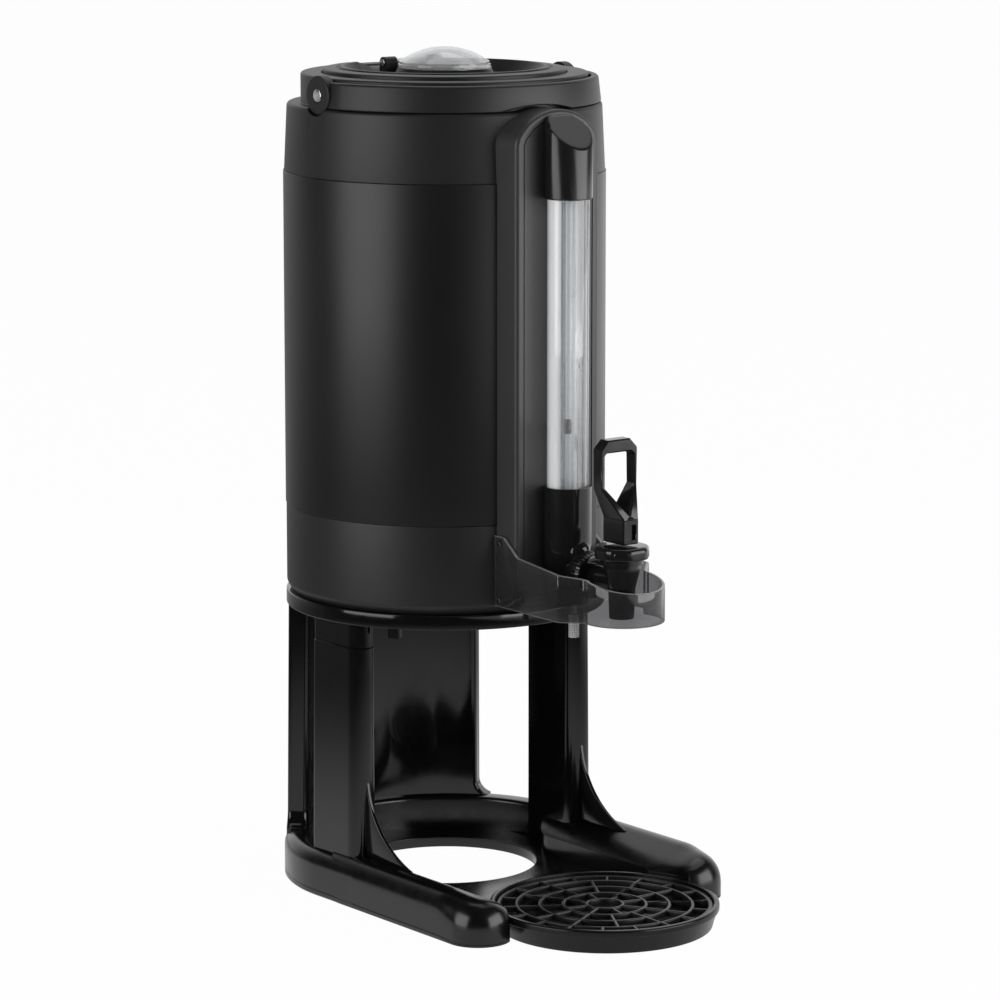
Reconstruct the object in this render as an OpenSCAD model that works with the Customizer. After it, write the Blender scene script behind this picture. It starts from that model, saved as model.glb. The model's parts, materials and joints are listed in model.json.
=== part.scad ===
// Thermal coffee dispenser on a drip-tray stand.
// Millimetres. The front, where the tap is, faces -Y. Z is up and the floor is z = 0.
// The modules are written about the upright axis of the round body.
// place() then moves that axis so that the middle of the whole footprint is the origin.

/* [Stand] */
// How far the base stands out past the body
base_out = 3; // [1.5:0.5:6]
// Height of the base rim
base_h = 32; // [28:0.5:34]
// Height of the two feet
foot_h = 34.5; // [34:0.5:38]
// Thickness of the floor plate of the base
base_floor_t = 8; // [6:0.5:10]
// Radius of the hole in the floor plate
base_hole_r = 66.5; // [60:0.5:72]
// Width of the raised rim
rim_w = 21.5; // [20:0.5:24]
// Width of each foot
foot_w = 47; // [44:0.5:50]
// How far the feet reach past the middle of the tray
foot_past = 1.5; // [-6:0.5:12]
// Rounding of the outer top edge of the feet
foot_round = 12; // [9:0.5:14]
// Width of a column, across the stand
column_w = 20; // [18:0.5:22]
// Depth of a column, front to back
column_d = 54; // [50:0.5:58]
// Radius of the fin that sweeps from a column to its foot
flare_r = 58; // [54:0.5:62]
// Thickness of that fin
fin_t = 3; // [2.5:0.1:4]
// Half of the angle that the rear panel takes up
panel_half = 49.5; // [45:0.5:54]
// Thickness of the rear panel
panel_t = 14.5; // [12:0.5:16]
// Height of the top of the stand
seat_z = 215; // [205:1:225]
// Thickness of the seat ring
ring_h = 10.5; // [9:0.5:12]
// How far the seat ring stays inside the shell
ring_inset = 0; // [0:0.5:2]

/* [Drip tray] */
// Distance of the tray centre behind the tap axis
tray_back = 17.5; // [10:0.5:17.5]
// How far the tray is let into each foot
tray_bite = 9.3; // [8:0.1:11]
// Height of the tray rim
tray_h = 17.5; // [16:0.5:20]
// Radius of the centre hole of the grille
grille_hole_r = 11.6; // [10:0.2:12]
// Gap from the outermost ring rib to the frame of the grille
grille_last = 10.9; // [9.1:0.3:15.1]
// Width of the ribs of the grille
rib_w = 2.6; // [2:0.2:3]

/* [Body] */
// Radius of the steel shell
shell_r = 116; // [112:0.5:126]
// Height of the lower band
band_h = 64; // [60:1:70]
// Height of the steel shell
shell_h = 240.5; // [220:1:260]
// Height of the skirt of the upper collar
skirt_h = 48.7; // [46:0.1:54]
// Height of the neck above the ledge
neck_h = 21.1; // [20:0.1:22]
// Width of the ledge round the neck
ledge_step = 13; // [12.5:0.5:15]
// Width of the rim round the lid
neck_rim = 15; // [13:0.5:16]

/* [Lid] */
// Gap round the lid
lid_gap = 0.7; // [0.5:0.1:1]
// Width of the rim of the lid
lid_rim = 15.3; // [13.5:0.1:18]
// Depth of the bowl
bowl_d = 9; // [7:0.5:11]
// Radius of the clear cover
dome_r = 32.3; // [30:0.5:34]
// Rise of the clear cover
dome_rise = 10.4; // [8:0.2:11]

/* [Handle] */
// Radius of the round ends of the handle
ear_r = 14; // [13:0.5:14.5]
// Depth of the handle band, top to bottom
handle_h = 18.5; // [17:0.5:19]
// Radius of a handle pin
handle_pin_r = 3; // [2.5:0.1:3.5]

/* [Level gauge] */
// Half of the width of the gauge housing
housing_hw = 36.5; // [35:0.5:38]
// How far the housing face stands out from the shell
housing_out = 16.5; // [15:0.5:18]
// Distance of the gauge axis in front of the housing face
gauge_out = 11.2; // [10.5:0.1:12.5]
// Outer radius of the gauge cap and socket
gauge_r = 16.9; // [16.5:0.1:18]
// Outer radius of the clear shield
shield_r = 14.7; // [14:0.1:15]
// Outer radius of the gauge glass
glass_r = 4; // [3.6:0.1:4.4]

/* [Tap] */
// Height of the outlet axis above the seat
tap_rise = 33; // [31:0.5:35]
// Distance of the tap axis in front of the gauge axis
tap_out = 60.8; // [59.5:0.1:62]
// Radius of the tap bonnet
bonnet_r = 19.4; // [18.5:0.1:20]
// Height of the tap bonnet
bonnet_h = 9.8; // [9:0.1:10.5]
// Height of the lever above the bonnet
lever_h = 72; // [65:1:80]
// Half of the width of the lever loop
lever_hw = 15.6; // [14:0.2:17]

/* [Tap guard] */
// Thickness of the guard sheet
guard_t = 2.5; // [2:0.1:3]
// Radius of the nose of the guard
guard_r = 29; // [27.5:0.5:31]
// Distance of the nose centre in front of the tap axis
guard_out = 1.5; // [0.5:0.5:3]
// Height of the lower edge of the guard above the seat
guard_lift = 6.5; // [4:0.5:7]

/* [Hidden] */
$fn = 96;

// Overlap that joins the solids of one piece
join = 1;
// Gap between pieces that are set against curved faces
gap = 0.3;
// Gap of a pin that turns in its bore
run = 0.05;
// Gap round a piece that is set into a hole
fit_gap = 0.2;
// Gap round a seal or a sleeve
seal_gap = 0.1;

// Distances from the body axis
housing_y = shell_r + housing_out;
gauge_y = housing_y + gauge_out;
tap_y = gauge_y + tap_out;
guard_y = tap_y + guard_out;
tray_y = tap_y - tray_back;
foot_reach = tray_y + foot_past;
base_r = shell_r + base_out;
ring_r = shell_r - ring_inset;
neck_r = shell_r - ledge_step;
mouth_r = neck_r - neck_rim;

// Heights of the tap
tap_z = seat_z + tap_rise;
guard_z = seat_z + guard_lift;

// Stand
pad_h = 3.5;
pad_r = 9;
pad_angle = 40;
base_lift = 0.5;
rim_round = 1.2;
foot_out = base_r - 0.3;
foot_x = foot_out - foot_w / 2;
tray_r = foot_x - foot_w / 2 + tray_bite;

// The body axis is placed so that the footprint is centred
body_y = (tray_y + tray_r - base_r) / 2;

// Feet and columns
foot_end = foot_reach - foot_w / 2;
foot_wall = 4;
foot_inset = 12;
foot_cavity_l = 70;
rim_end_y = 10;
foot_slope = 18;
foot_inner_h = 20;
foot_inner_w = 6.5;
foot_nose = 16;
column_inset = 18.5;
column_x = ring_r - column_inset;
column_y = -11;
column_round = 3;
seat_front_w = 0.7;
column_front = column_y - column_d / 2;
flare_rise = 2.5;
flare_reach = flare_r - 6;
stub_h = 18.5;
ring_z = seat_z - ring_h;
column_top = ring_z - stub_h;
flare_z = foot_h + flare_rise + flare_r;
tenon_h = 10;
tenon_in = 5;
panel_top_r = ring_r - 0.5;
panel_low_r = base_r - 1.3;
panel_mid_r = panel_low_r - panel_t / 2 - 1;
screw_r = 2.5;
screw_head_r = 4.6;
screw_head_h = 3;
panel_screw_angle = 30;
foot_screw_z = 10;
foot_screw_l = 46;
ring_screw_l = 34;
peg_r = 5;
peg_inset = 21;
peg_ring_r = shell_r - peg_inset;
ring_land = 10.5;
ring_in = peg_ring_r - ring_land;
peg_angle = 59;
peg_h = 21;

// Drip tray
tray_gap = 0.8;
tray_wall = 2.5;
tray_lip = 5;
tray_taper = 5;
grille_h = 4;
grille_top = tray_h - 2;
grille_gap = 0.5;
grille_frame = 3.5;
grille_r = tray_r - 4.5;
ledge_w = 3;
grille_first = grille_hole_r + rib_w / 2;
grille_pitch = (grille_r - grille_frame - grille_first - grille_last) / 3;

// Body levels
band_top = seat_z + band_h;
shell_top = band_top + shell_h;
ledge_z = shell_top + skirt_h;
neck_top = ledge_z + neck_h;
band_r = shell_r - 0.5;
band_foot_r = band_r - 3.5;
band_wall = 4;
shell_t = 1.2;
spigot_r = shell_r - shell_t - gap;
spigot_h = 8;
collar_r = shell_r - 0.7;
collar_top_r = shell_r - 3;
collar_wall = 3.5;
cover_t = 4;
cover_inset = 7.7;
cover_r = band_r - cover_inset;
cover_gap = 0.3;
boss_r = 5.5;
boss_at = cover_r - boss_r - cover_gap;
boss_web = 4;
cover_screw_angle = 35;
boss_h = 7.5;
cover_screw_r = 1.8;
cover_screw_l = 9;
cover_head_r = 4;
cover_head_h = 1.8;
peg_pin_r = 3;

// Vacuum vessel
seat_h = 8;
seat_inset = 18;
seat_w = 22;
vessel_seal_h = 7;
jacket_space = 10;
jacket_r = shell_r - jacket_space;
jacket_t = 0.8;
jacket_z = seat_z + cover_t + seat_h;
liner_space = 9;
liner_r = jacket_r - liner_space;
liner_t = 1;
liner_z = jacket_z + liner_space;
vessel_step = 11;
vessel_neck_r = mouth_r - vessel_step;
vessel_top = ledge_z + 2;
mouth_in = vessel_neck_r + liner_t + 2;
mouth_wall = 3.5;
mouth_drop = 6;
lid_seat_z = neck_top - 5;
outlet_r = 8;
outlet_in = 6;
outlet_lap = 3;
grommet_r = 11;

// Lid
lid_r = mouth_r - lid_gap;
bowl_r = lid_r - lid_rim;
lid_lip_h = 2.6;
lid_top_z = neck_top + lid_lip_h;
bowl_rim_z = lid_top_z + 1.5;
bowl_z = bowl_rim_z - bowl_d;
bowl_side = 7;
bowl_land = 3.5;
plug_r = vessel_neck_r - 3;
plug_h = 22;
lid_floor_t = 3;
lid_seal_h = 4;
lid_seal_drop = 5;
fill_r = 22;
hub_r = dome_r + 1.2;
hub_z = bowl_rim_z - 1.2;
scoop_w = 58;
scoop_d = 5.5;
scoop_in = 12;
scoop_r = (scoop_w * scoop_w / 4 + scoop_d * scoop_d) / (2 * scoop_d);
dome_t = 2;
dome_z = hub_z + 0.4;
dome_wall_h = 4;
dome_ball = (dome_r * dome_r + dome_rise * dome_rise) / (2 * dome_rise);
dome_top = dome_z + dome_wall_h + dome_rise;
hinge_y = dome_r + 8;
hinge_z = dome_z + 1.3;
knuckle_r = 4.3;
knuckle_x = 15;
knuckle_l = 10;
knuckle_gap = 0.4;
dome_pin_r = 1.5;
tab_w = 30;
tab_l = 7;

// Handle
pivot_z = ledge_z + 9.2;
ear_x = neck_r + 0.6;
ear_out = neck_r + 8.3;
handle_in = neck_r + 2;
handle_top_r = neck_r + 7.2;
handle_low_r = neck_r + 9.3;
handle_z = ledge_z + 0.4;
handle_end = 4;
arch_w = 62;
arch_d = 4;
arch_r = (arch_w * arch_w / 4 + arch_d * arch_d) / (2 * arch_d);
notch_r = ear_r + 0.6;
notch_wall = 3;
notch_in = 0.5;
pin_head_r = 4.75;
pin_head_h = 1.6;
pin_hold = 13;
pin_in = neck_r - pin_hold;
pin_boss_r = 8;

// Gauge
housing_z = guard_z + 2;
housing_top = ledge_z + 2.9;
housing_arc_r = 45;
arch_overlap = 20;
housing_wall = 3.5;
housing_depth = 52.5;
housing_back = housing_y - housing_depth;
face_t = 7;
socket_z = guard_z + 4;
socket_rise = 29;
socket_top = band_top + socket_rise;
cap_drop = 9.5;
cap_z = shell_top - cap_drop;
cap_front_h = 35;
cap_slope = 25 / 28;
socket_depth = 6;
shield_t = 1.5;
glass_t = 0.8;
seal_r = 6.6;
seal_h = 3;
glass_z = socket_top - 14;
glass_top = cap_z + 14;
float_r = 2.6;
float_l = 10;
float_rise = 37;
float_z = socket_top + float_rise;
boss_reach = 20.3;
boss_y = gauge_y + boss_reach;
boss_out_r = 12.5;
elbow_reach = 10.7;
elbow_y = gauge_y + elbow_reach;
elbow_z = tap_z + 15;
elbow_r = 9.5;
flow_r = 5.5;

// Tap
shank_r = 8.5;
shank_y = gauge_y + 14.3;
nut_r = 17;
nut_w = 11;
nut_teeth = 30;
spout_z = guard_z + 2;
spout_r = 8.6;
bonnet_rise = 18;
bonnet_z = tap_z + bonnet_rise;
bonnet_top = bonnet_z + bonnet_h;
flange_h = 4;
flange_r = 15;
cavity_r = 7.4;
tap_neck_r = 13;
spout_in = 5;
seat_level = spout_z + 8;
guide_z = bonnet_z - 12;
guide_t = 3;
head_r = 10.8;
bonnet_in = 15.6;
bonnet_roof = 3;
slot_hw = 7.8;
pivot_y = tap_y + 9;
lever_pivot_z = bonnet_z + 4.6;
lever_pin_r = 2;
lever_pin_l = 31;
stem_r = 2.2;
trunnion_r = 1.5;
trunnion_l = 12.4;
trunnion_z = lever_pivot_z - 6;
cheek_in = 3.6;
cheek_out = 6.8;
cheek_hole_r = 2.8;
lever_foot = bonnet_top + 0.5;
lever_top = lever_foot + lever_h;
lever_back = tap_y - 13;
lever_front = tap_y + 10;
lever_top_front = tap_y - 3;
lever_stem_hw = 7;
lever_waist_rise = 18;
lever_waist_z = lever_foot + lever_waist_rise;
lever_knee_rise = 38;
lever_knee_z = lever_foot + lever_knee_rise;
lever_corner = 6;
lever_side = 1.9;
window_hw = lever_hw - lever_side;
window_rise = 20;
window_low = lever_foot + window_rise;
window_vee = 20;
lever_bar = 9;
window_top = lever_top - lever_bar;
window_corner = 3;
cup_r = 6.8;
cup_h = 7.5;
cup_z = seat_level + 0.05;
foot_disc_r = 4;
foot_disc_h = 2;
foot_disc_z = cup_z + 4;
spring_r = 5;
wire_r = 0.7;
spring_turns = 6;

// Guard
guard_in = housing_hw + 0.2;
guard_side = guard_in + guard_t;
guard_bend_y = housing_y + 4;
guard_waist_back = 20;
guard_waist_y = tap_y - guard_waist_back;
guard_splay = 1.6;
guard_neck_x = guard_r - 1.2;
guard_tab_h = 50.5;
guard_tab_y = housing_y - 11.5;
guard_bend_h = 38.5;
guard_waist_h = 33.5;
guard_nose_h = 24;
rivet_r = 2.4;
rivet_y = housing_y - 16;
rivet_inset = 5;
rivet_shank_r = 1.5;
rivet_lift = 0.25;
rivet_head_h = 1.2;
thumb_r = 3.8;
thumb_y = gauge_y + 7.3;
thumb_drop = 24.5;
thumb_z = socket_z - thumb_drop;
thumb_h = 16.5;
thumb_teeth = 20;
thumb_shank_r = 2;
thumb_shank_in = 8;

// Colours
black = [0.07, 0.07, 0.075];
soft_black = [0.11, 0.11, 0.115];
charcoal = [0.2, 0.2, 0.205];
float_black = [0.05, 0.05, 0.05];
steel = [0.72, 0.73, 0.74];
rubber = [0.16, 0.16, 0.16];
clear = [0.82, 0.86, 0.88, 0.5];
smoke = [0.25, 0.25, 0.27, 0.6];

// Moves the body axis to its place over the footprint
module place() {
    translate([0, body_y, 0])
        children();
}

// Both sides of a symmetric pair
module pair() {
    children();
    mirror([1, 0, 0])
        children();
}

// Bar section that stands on y = 0 and has rounded top corners
module round_top(w, h, r) {
    translate([-w / 2, 0])
        square([w, h - r]);
    translate([r - w / 2, 0])
        square([w - 2 * r, h]);
    for (x = [-1, 1])
        translate([x * (w / 2 - r), h - r])
            circle(r);
}

// Right half of round_top
module half_round_top(w, h, r) {
    intersection() {
        round_top(w, h, r);
        square([w, h]);
    }
}

// Cylinder along X, centred on x = 0
module x_rod(r, l) {
    rotate([0, 90, 0])
        cylinder(r = r, h = l, center = true);
}

// Cylinder along -Y from y = 0
module y_rod(r, l) {
    rotate([90, 0, 0])
        cylinder(r = r, h = l);
}

// Ring about Z
module ring(r_out, r_in, h) {
    difference() {
        cylinder(r = r_out, h = h);
        translate([0, 0, -join])
            cylinder(r = r_in, h = h + 2 * join);
    }
}

// Outline of the side of a piece, given as [distance in front, height], carried along X
module side_cut(points, w) {
    rotate([90, 0, 90])
        linear_extrude(height = w, center = true)
            polygon([for (p = points) [-p[0], p[1]]]);
}

// Toothed disc outline
module toothed(r, depth, teeth) {
    polygon([for (i = [0 : 2 * teeth - 1])
        (r - depth * (i % 2)) * [cos(180 * i / teeth), sin(180 * i / teeth)]]);
}

// Stand

// Plan of a column: flat sides, a round front and rounded back corners
module column_plan(grow) {
    half = column_w / 2 + grow;
    middle = (column_w - column_d) / 2;
    translate([column_x, column_y + middle]) {
        circle(half);
        round_top(2 * half, column_d / 2 + grow - middle, column_round);
    }
}

// Section of a foot: a rounded crest near the outside and a top that falls inwards
module foot_section() {
    half = foot_w / 2;
    crest = [half - foot_round, foot_h - base_lift - foot_round];
    shoulder = crest + foot_round * [-sin(foot_slope), cos(foot_slope)];
    fall = (shoulder[0] + half - foot_inner_w) * tan(foot_slope);
    polygon([
        [-half, 0],
        [half, 0],
        [half, crest[1]],
        crest,
        shoulder,
        [foot_inner_w - half, shoulder[1] - fall],
        [-half, foot_inner_h]
    ]);
    translate(crest)
        circle(foot_round);
}

module foot_bar() {
    translate([foot_x, 0, base_lift])
        intersection() {
            rotate([90, 0, 0])
                linear_extrude(height = foot_reach)
                    foot_section();
            union() {
                translate([-foot_w / 2, -foot_end, 0])
                    cube([foot_w, foot_end, foot_h]);
                translate([0, -foot_end, 0])
                    rotate_extrude()
                        half_round_top(foot_w, foot_h - base_lift, foot_nose);
            }
        }
}

module base_rim() {
    difference() {
        translate([0, 0, base_lift])
            rotate_extrude()
                translate([base_r - rim_w / 2, 0])
                    round_top(rim_w, base_h - base_lift, rim_round);
        translate([-foot_x - foot_inset, -base_r - join, base_floor_t])
            cube([2 * (foot_x + foot_inset), base_r + join - rim_end_y, base_h]);
    }
}

module stand_screw(l) {
    cylinder(r = screw_r, h = l);
    translate([0, 0, -screw_head_h])
        cylinder(r = screw_head_r, h = screw_head_h);
}

// Places of the screws that come up through the base
module at_base_screws() {
    pair()
        translate([column_x, column_y, foot_screw_z])
            children();
    for (a = [-panel_screw_angle, panel_screw_angle])
        rotate([0, 0, a])
            translate([0, panel_mid_r, foot_screw_z])
                children();
}

// Places of the screws that go down through the seat ring
module at_ring_screws() {
    pair()
        translate([column_x, column_y, seat_z - screw_head_h - 1])
            mirror([0, 0, 1])
                children();
}

module at_pads() {
    pair() {
        translate([foot_x, -foot_end, 0])
            children();
        rotate([0, 0, -pad_angle])
            translate([0, base_r - rim_w / 2, 0])
                children();
    }
}

// Blocks of the base that a column and its fin stand on, inside their plan
module column_seat() {
    for (block = [
        [column_w, column_w / 2, column_d - column_w / 2],
        [seat_front_w * column_w, (1 - seat_front_w) / 2 * column_w, column_w / 2],
        [fin_t, -flare_reach, flare_reach + column_w / 2]
    ])
        translate([column_x - block[0] / 2, column_front + block[1], base_floor_t - join])
            cube([block[0], block[2], foot_h - base_floor_t + join]);
}

module stand_base() {
    color(black)
        difference() {
            union() {
                base_rim();
                pair()
                    foot_bar();
                pair()
                    column_seat();
                translate([0, 0, base_lift])
                    linear_extrude(height = base_floor_t - base_lift) {
                        circle(base_r - rim_w / 2);
                        translate([-foot_x, -foot_end])
                            square([2 * foot_x, foot_end]);
                    }
            }
            translate([0, 0, -join])
                cylinder(r = base_hole_r, h = base_floor_t + 2 * join);
            translate([0, -tray_y, -join])
                cylinder(r = tray_r + tray_gap, h = foot_h + 2 * join);
            at_base_screws() {
                translate([0, 0, -foot_screw_z - join])
                    cylinder(r = screw_r + fit_gap, h = foot_h + 2 * join);
                translate([0, 0, -foot_screw_z - join])
                    cylinder(r = screw_head_r + fit_gap, h = foot_screw_z + join);
            }
            at_pads()
                cylinder(r = pad_r + fit_gap, h = pad_h);
            pair()
                translate([foot_x - foot_w / 2 + foot_inset + foot_wall, -foot_end + pad_r + foot_inset, 0])
                    cube([foot_w - foot_inset - 2 * foot_wall, foot_cavity_l, foot_h - foot_round]);
        }
}

module column() {
    tenon = [column_w - 2 * tenon_in, column_d - 2 * tenon_in];
    difference() {
        union() {
            translate([0, 0, foot_h])
                linear_extrude(height = column_top - foot_h)
                    column_plan(0);
            translate([column_x, column_y, column_top - join])
                linear_extrude(height = tenon_h + join)
                    square(tenon, center = true);
            translate([column_x, 0, 0])
                difference() {
                    side_cut([
                        [-column_front - 10, foot_h],
                        [-column_front + flare_reach, foot_h],
                        [-column_front + flare_reach, flare_z],
                        [-column_front - 10, flare_z]
                    ], fin_t);
                    translate([0, column_front - flare_r + 0.5, flare_z])
                        x_rod(flare_r, column_w + join);
                }
        }
        translate([column_x, column_y, 0])
            cylinder(r = screw_r + run, h = foot_screw_z + foot_screw_l + join);
        translate([column_x, column_y, column_top + tenon_h - ring_screw_l])
            cylinder(r = screw_r + run, h = ring_screw_l + join);
    }
}

module column_right() {
    color(black)
        column();
}

module column_left() {
    color(black)
        mirror([1, 0, 0])
            column();
}

module rear_panel() {
    panel_h = ring_z - base_h;
    low = panel_low_r - panel_t;
    color(black)
        difference() {
            translate([0, 0, base_h])
                rotate([0, 0, 90 - panel_half])
                    rotate_extrude(angle = 2 * panel_half)
                        polygon([
                            [low, 0],
                            [panel_low_r, 0],
                            [panel_top_r, panel_h],
                            [panel_top_r - panel_t, panel_h]
                        ]);
            at_base_screws()
                translate([0, 0, -foot_screw_z])
                    cylinder(r = screw_r + run, h = foot_screw_z + foot_screw_l + join);
        }
}

module at_pegs() {
    for (a = [peg_angle, 180 - peg_angle, 180 + peg_angle, -peg_angle])
        rotate([0, 0, a])
            translate([0, -peg_ring_r, 0])
                children();
}

module seat_ring() {
    hole = [column_w - 2 * tenon_in + 2 * fit_gap, column_d - 2 * tenon_in + 2 * fit_gap];
    color(black)
        difference() {
            union() {
                translate([0, 0, ring_z])
                    rotate_extrude()
                        polygon([
                            [ring_in, 0],
                            [ring_r - 1, 0],
                            [ring_r, 1],
                            [ring_r, ring_h - 1.5],
                            [ring_r - 1.5, ring_h],
                            [ring_in, ring_h]
                        ]);
                pair()
                    translate([0, 0, column_top])
                        linear_extrude(height = stub_h + join)
                            column_plan(-0.4);
            }
            pair()
                translate([column_x, column_y, column_top - join])
                    linear_extrude(height = tenon_h + join + fit_gap)
                        square(hole, center = true);
            at_ring_screws() {
                translate([0, 0, -screw_head_h - 2])
                    cylinder(r = screw_head_r + fit_gap, h = screw_head_h + 2);
                cylinder(r = screw_r + fit_gap, h = stub_h + ring_h);
            }
            at_pegs()
                translate([0, 0, ring_z - join])
                    cylinder(r = peg_r + 0.5, h = ring_h + 2 * join);
        }
}

module stand_screws() {
    color(steel) {
        at_base_screws()
            stand_screw(foot_screw_l);
        at_ring_screws()
            stand_screw(ring_screw_l);
    }
}

module stand_pads() {
    color(rubber)
        at_pads()
            cylinder(r = pad_r, h = pad_h);
}

// Drip tray

module drip_tray() {
    low_r = tray_r - tray_taper;
    color(black)
        translate([0, -tray_y, 0])
            rotate_extrude()
                polygon([
                    [0, 0],
                    [low_r - 1, 0],
                    [low_r, 1],
                    [tray_r - 1.5, tray_h - tray_lip],
                    [tray_r, tray_h - tray_lip],
                    [tray_r, tray_h - 1],
                    [tray_r - 1, tray_h],
                    [grille_r + grille_gap, tray_h],
                    [grille_r + grille_gap, grille_top - grille_h],
                    [grille_r - ledge_w, grille_top - grille_h],
                    [low_r - ledge_w - tray_wall, tray_wall],
                    [0, tray_wall]
                ]);
}

// Plan of a ring rib of the grille
module rib_plan(r_out, r_in) {
    difference() {
        circle(r_out);
        circle(r_in);
    }
}

// Plan of the spokes between two ring ribs
module spoke_plan(r1, r2, count, first) {
    for (i = [0 : count - 1])
        rotate(first + i * 360 / count)
            translate([-rib_w / 2, -r2])
                square([rib_w, r2 - r1]);
}

module drip_grille() {
    r = [for (i = [0 : 3]) grille_first + i * grille_pitch];
    color(black)
        translate([0, -tray_y, grille_top - grille_h])
            linear_extrude(height = grille_h) {
                for (i = [0 : 3])
                    rib_plan(r[i] + rib_w / 2, r[i] - rib_w / 2);
                rib_plan(grille_r, grille_r - grille_frame);
                spoke_plan(r[0], r[1], 8, 30);
                spoke_plan(r[1], r[3], 12, 0);
                spoke_plan(r[3], grille_r - grille_frame / 2, 18, 0);
            }
}

// Body

module at_cover_screws() {
    for (a = [cover_screw_angle, 180 - cover_screw_angle, 180 + cover_screw_angle, -cover_screw_angle])
        rotate([0, 0, a])
            translate([0, -boss_at, 0])
                children();
}

module bottom_cover() {
    color(soft_black)
        difference() {
            translate([0, 0, seat_z])
                cylinder(r = cover_r, h = cover_t);
            at_pegs()
                translate([0, 0, seat_z - join])
                    cylinder(r = peg_pin_r + run, h = cover_t + 2 * join);
            at_cover_screws()
                translate([0, 0, seat_z - join]) {
                    cylinder(r = cover_head_r + gap, h = join + cover_head_h + gap);
                    cylinder(r = cover_screw_r + gap, h = cover_t + 2 * join);
                }
        }
}

module body_pegs() {
    color(rubber)
        at_pegs() {
            translate([0, 0, seat_z - peg_h])
                cylinder(r = peg_r, h = peg_h);
            translate([0, 0, seat_z - join])
                cylinder(r = peg_pin_r, h = cover_t + join);
        }
}

module cover_screws() {
    color(steel)
        at_cover_screws()
            translate([0, 0, seat_z + gap]) {
                cylinder(r = cover_head_r, h = cover_head_h);
                cylinder(r = cover_screw_r, h = cover_screw_l);
            }
}

module lower_band() {
    inner = band_r - band_wall;
    color(soft_black)
        difference() {
            union() {
                translate([0, 0, seat_z])
                    rotate_extrude()
                        polygon([
                            [cover_r + cover_gap, 0],
                            [band_foot_r, 0],
                            [band_r, 6],
                            [band_r, band_h],
                            [spigot_r, band_h],
                            [spigot_r, band_h + spigot_h],
                            [inner, band_h + spigot_h],
                            [inner, cover_t + 4],
                            [cover_r + cover_gap, cover_t + 2]
                        ]);
                at_cover_screws()
                    translate([0, 0, seat_z + cover_t]) {
                        cylinder(r = boss_r, h = boss_h);
                        translate([-boss_web / 2, -inner + boss_at - 2, 1])
                            cube([boss_web, inner - boss_at + 2, boss_h - 1]);
                    }
            }
            at_cover_screws()
                translate([0, 0, seat_z])
                    cylinder(r = cover_screw_r + run, h = cover_screw_l + 1);
            translate([0, -jacket_r, tap_z])
                y_rod(grommet_r, band_r - jacket_r + join);
        }
}

module outer_shell() {
    color(charcoal)
        translate([0, 0, band_top])
            ring(shell_r, shell_r - shell_t, shell_h);
}

// Solid of the collar skirt, grown by g
module skirt_solid(g) {
    translate([0, 0, shell_top])
        cylinder(r1 = collar_r + g, r2 = collar_top_r + g, h = skirt_h);
}

module upper_collar() {
    inner = collar_top_r - collar_wall;
    neck_in = neck_r - collar_wall;
    roof = 4;
    color(soft_black)
        difference() {
            union() {
                translate([0, 0, shell_top])
                    rotate_extrude()
                        polygon([
                            [spigot_r - 2.5, -spigot_h],
                            [spigot_r, -spigot_h],
                            [spigot_r, 0],
                            [collar_r, 0],
                            [collar_top_r, skirt_h - 2],
                            [collar_top_r - 1.5, skirt_h],
                            [neck_r, skirt_h],
                            [neck_r, skirt_h + neck_h - 1],
                            [neck_r - 1, skirt_h + neck_h],
                            [mouth_r, skirt_h + neck_h],
                            [mouth_r, lid_seat_z - shell_top],
                            [mouth_in, lid_seat_z - shell_top],
                            [mouth_in, skirt_h - mouth_drop],
                            [mouth_in + mouth_wall, skirt_h - mouth_drop],
                            [mouth_in + mouth_wall, lid_seat_z - shell_top - roof],
                            [neck_in, lid_seat_z - shell_top - roof],
                            [neck_in, skirt_h - roof],
                            [inner, skirt_h - roof],
                            [spigot_r - 2.5, 0]
                        ]);
                // Pocket walls round the handle ends and bosses for the pins
                pair()
                    intersection() {
                        translate([pin_in + 2, 0, pivot_z])
                            rotate([0, 90, 0])
                                cylinder(r = notch_r + notch_wall, h = collar_r - pin_in);
                        translate([0, 0, pivot_z - notch_r - notch_wall])
                            cylinder(r = collar_top_r - 0.6, h = ledge_z - pivot_z + notch_r + notch_wall);
                    }
                pair()
                    translate([pin_in, 0, pivot_z])
                        rotate([0, 90, 0])
                            cylinder(r = pin_boss_r, h = neck_in - pin_in + join);
            }
            pair()
                translate([neck_r - notch_in, 0, pivot_z])
                    rotate([0, 90, 0])
                        cylinder(r = notch_r, h = collar_r - neck_r + notch_in + join);
            translate([0, 0, pivot_z])
                x_rod(handle_pin_r + run, 2 * ear_out);
        }
}

// Vacuum vessel

module vacuum_jacket() {
    shoulder = 26;
    top = vessel_top - 10;
    neck = vessel_neck_r + liner_t + gap;
    color(steel)
        difference() {
            rotate_extrude()
                polygon([
                    [0, jacket_z],
                    [jacket_r, jacket_z],
                    [jacket_r, top - shoulder],
                    [neck + jacket_t, top],
                    [neck, top],
                    [neck, top - jacket_t],
                    [jacket_r - jacket_t, top - shoulder - jacket_t],
                    [jacket_r - jacket_t, jacket_z + jacket_t],
                    [0, jacket_z + jacket_t]
                ]);
            translate([0, -liner_r, tap_z])
                y_rod(outlet_r + gap, jacket_r - liner_r + join);
        }
}

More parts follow.
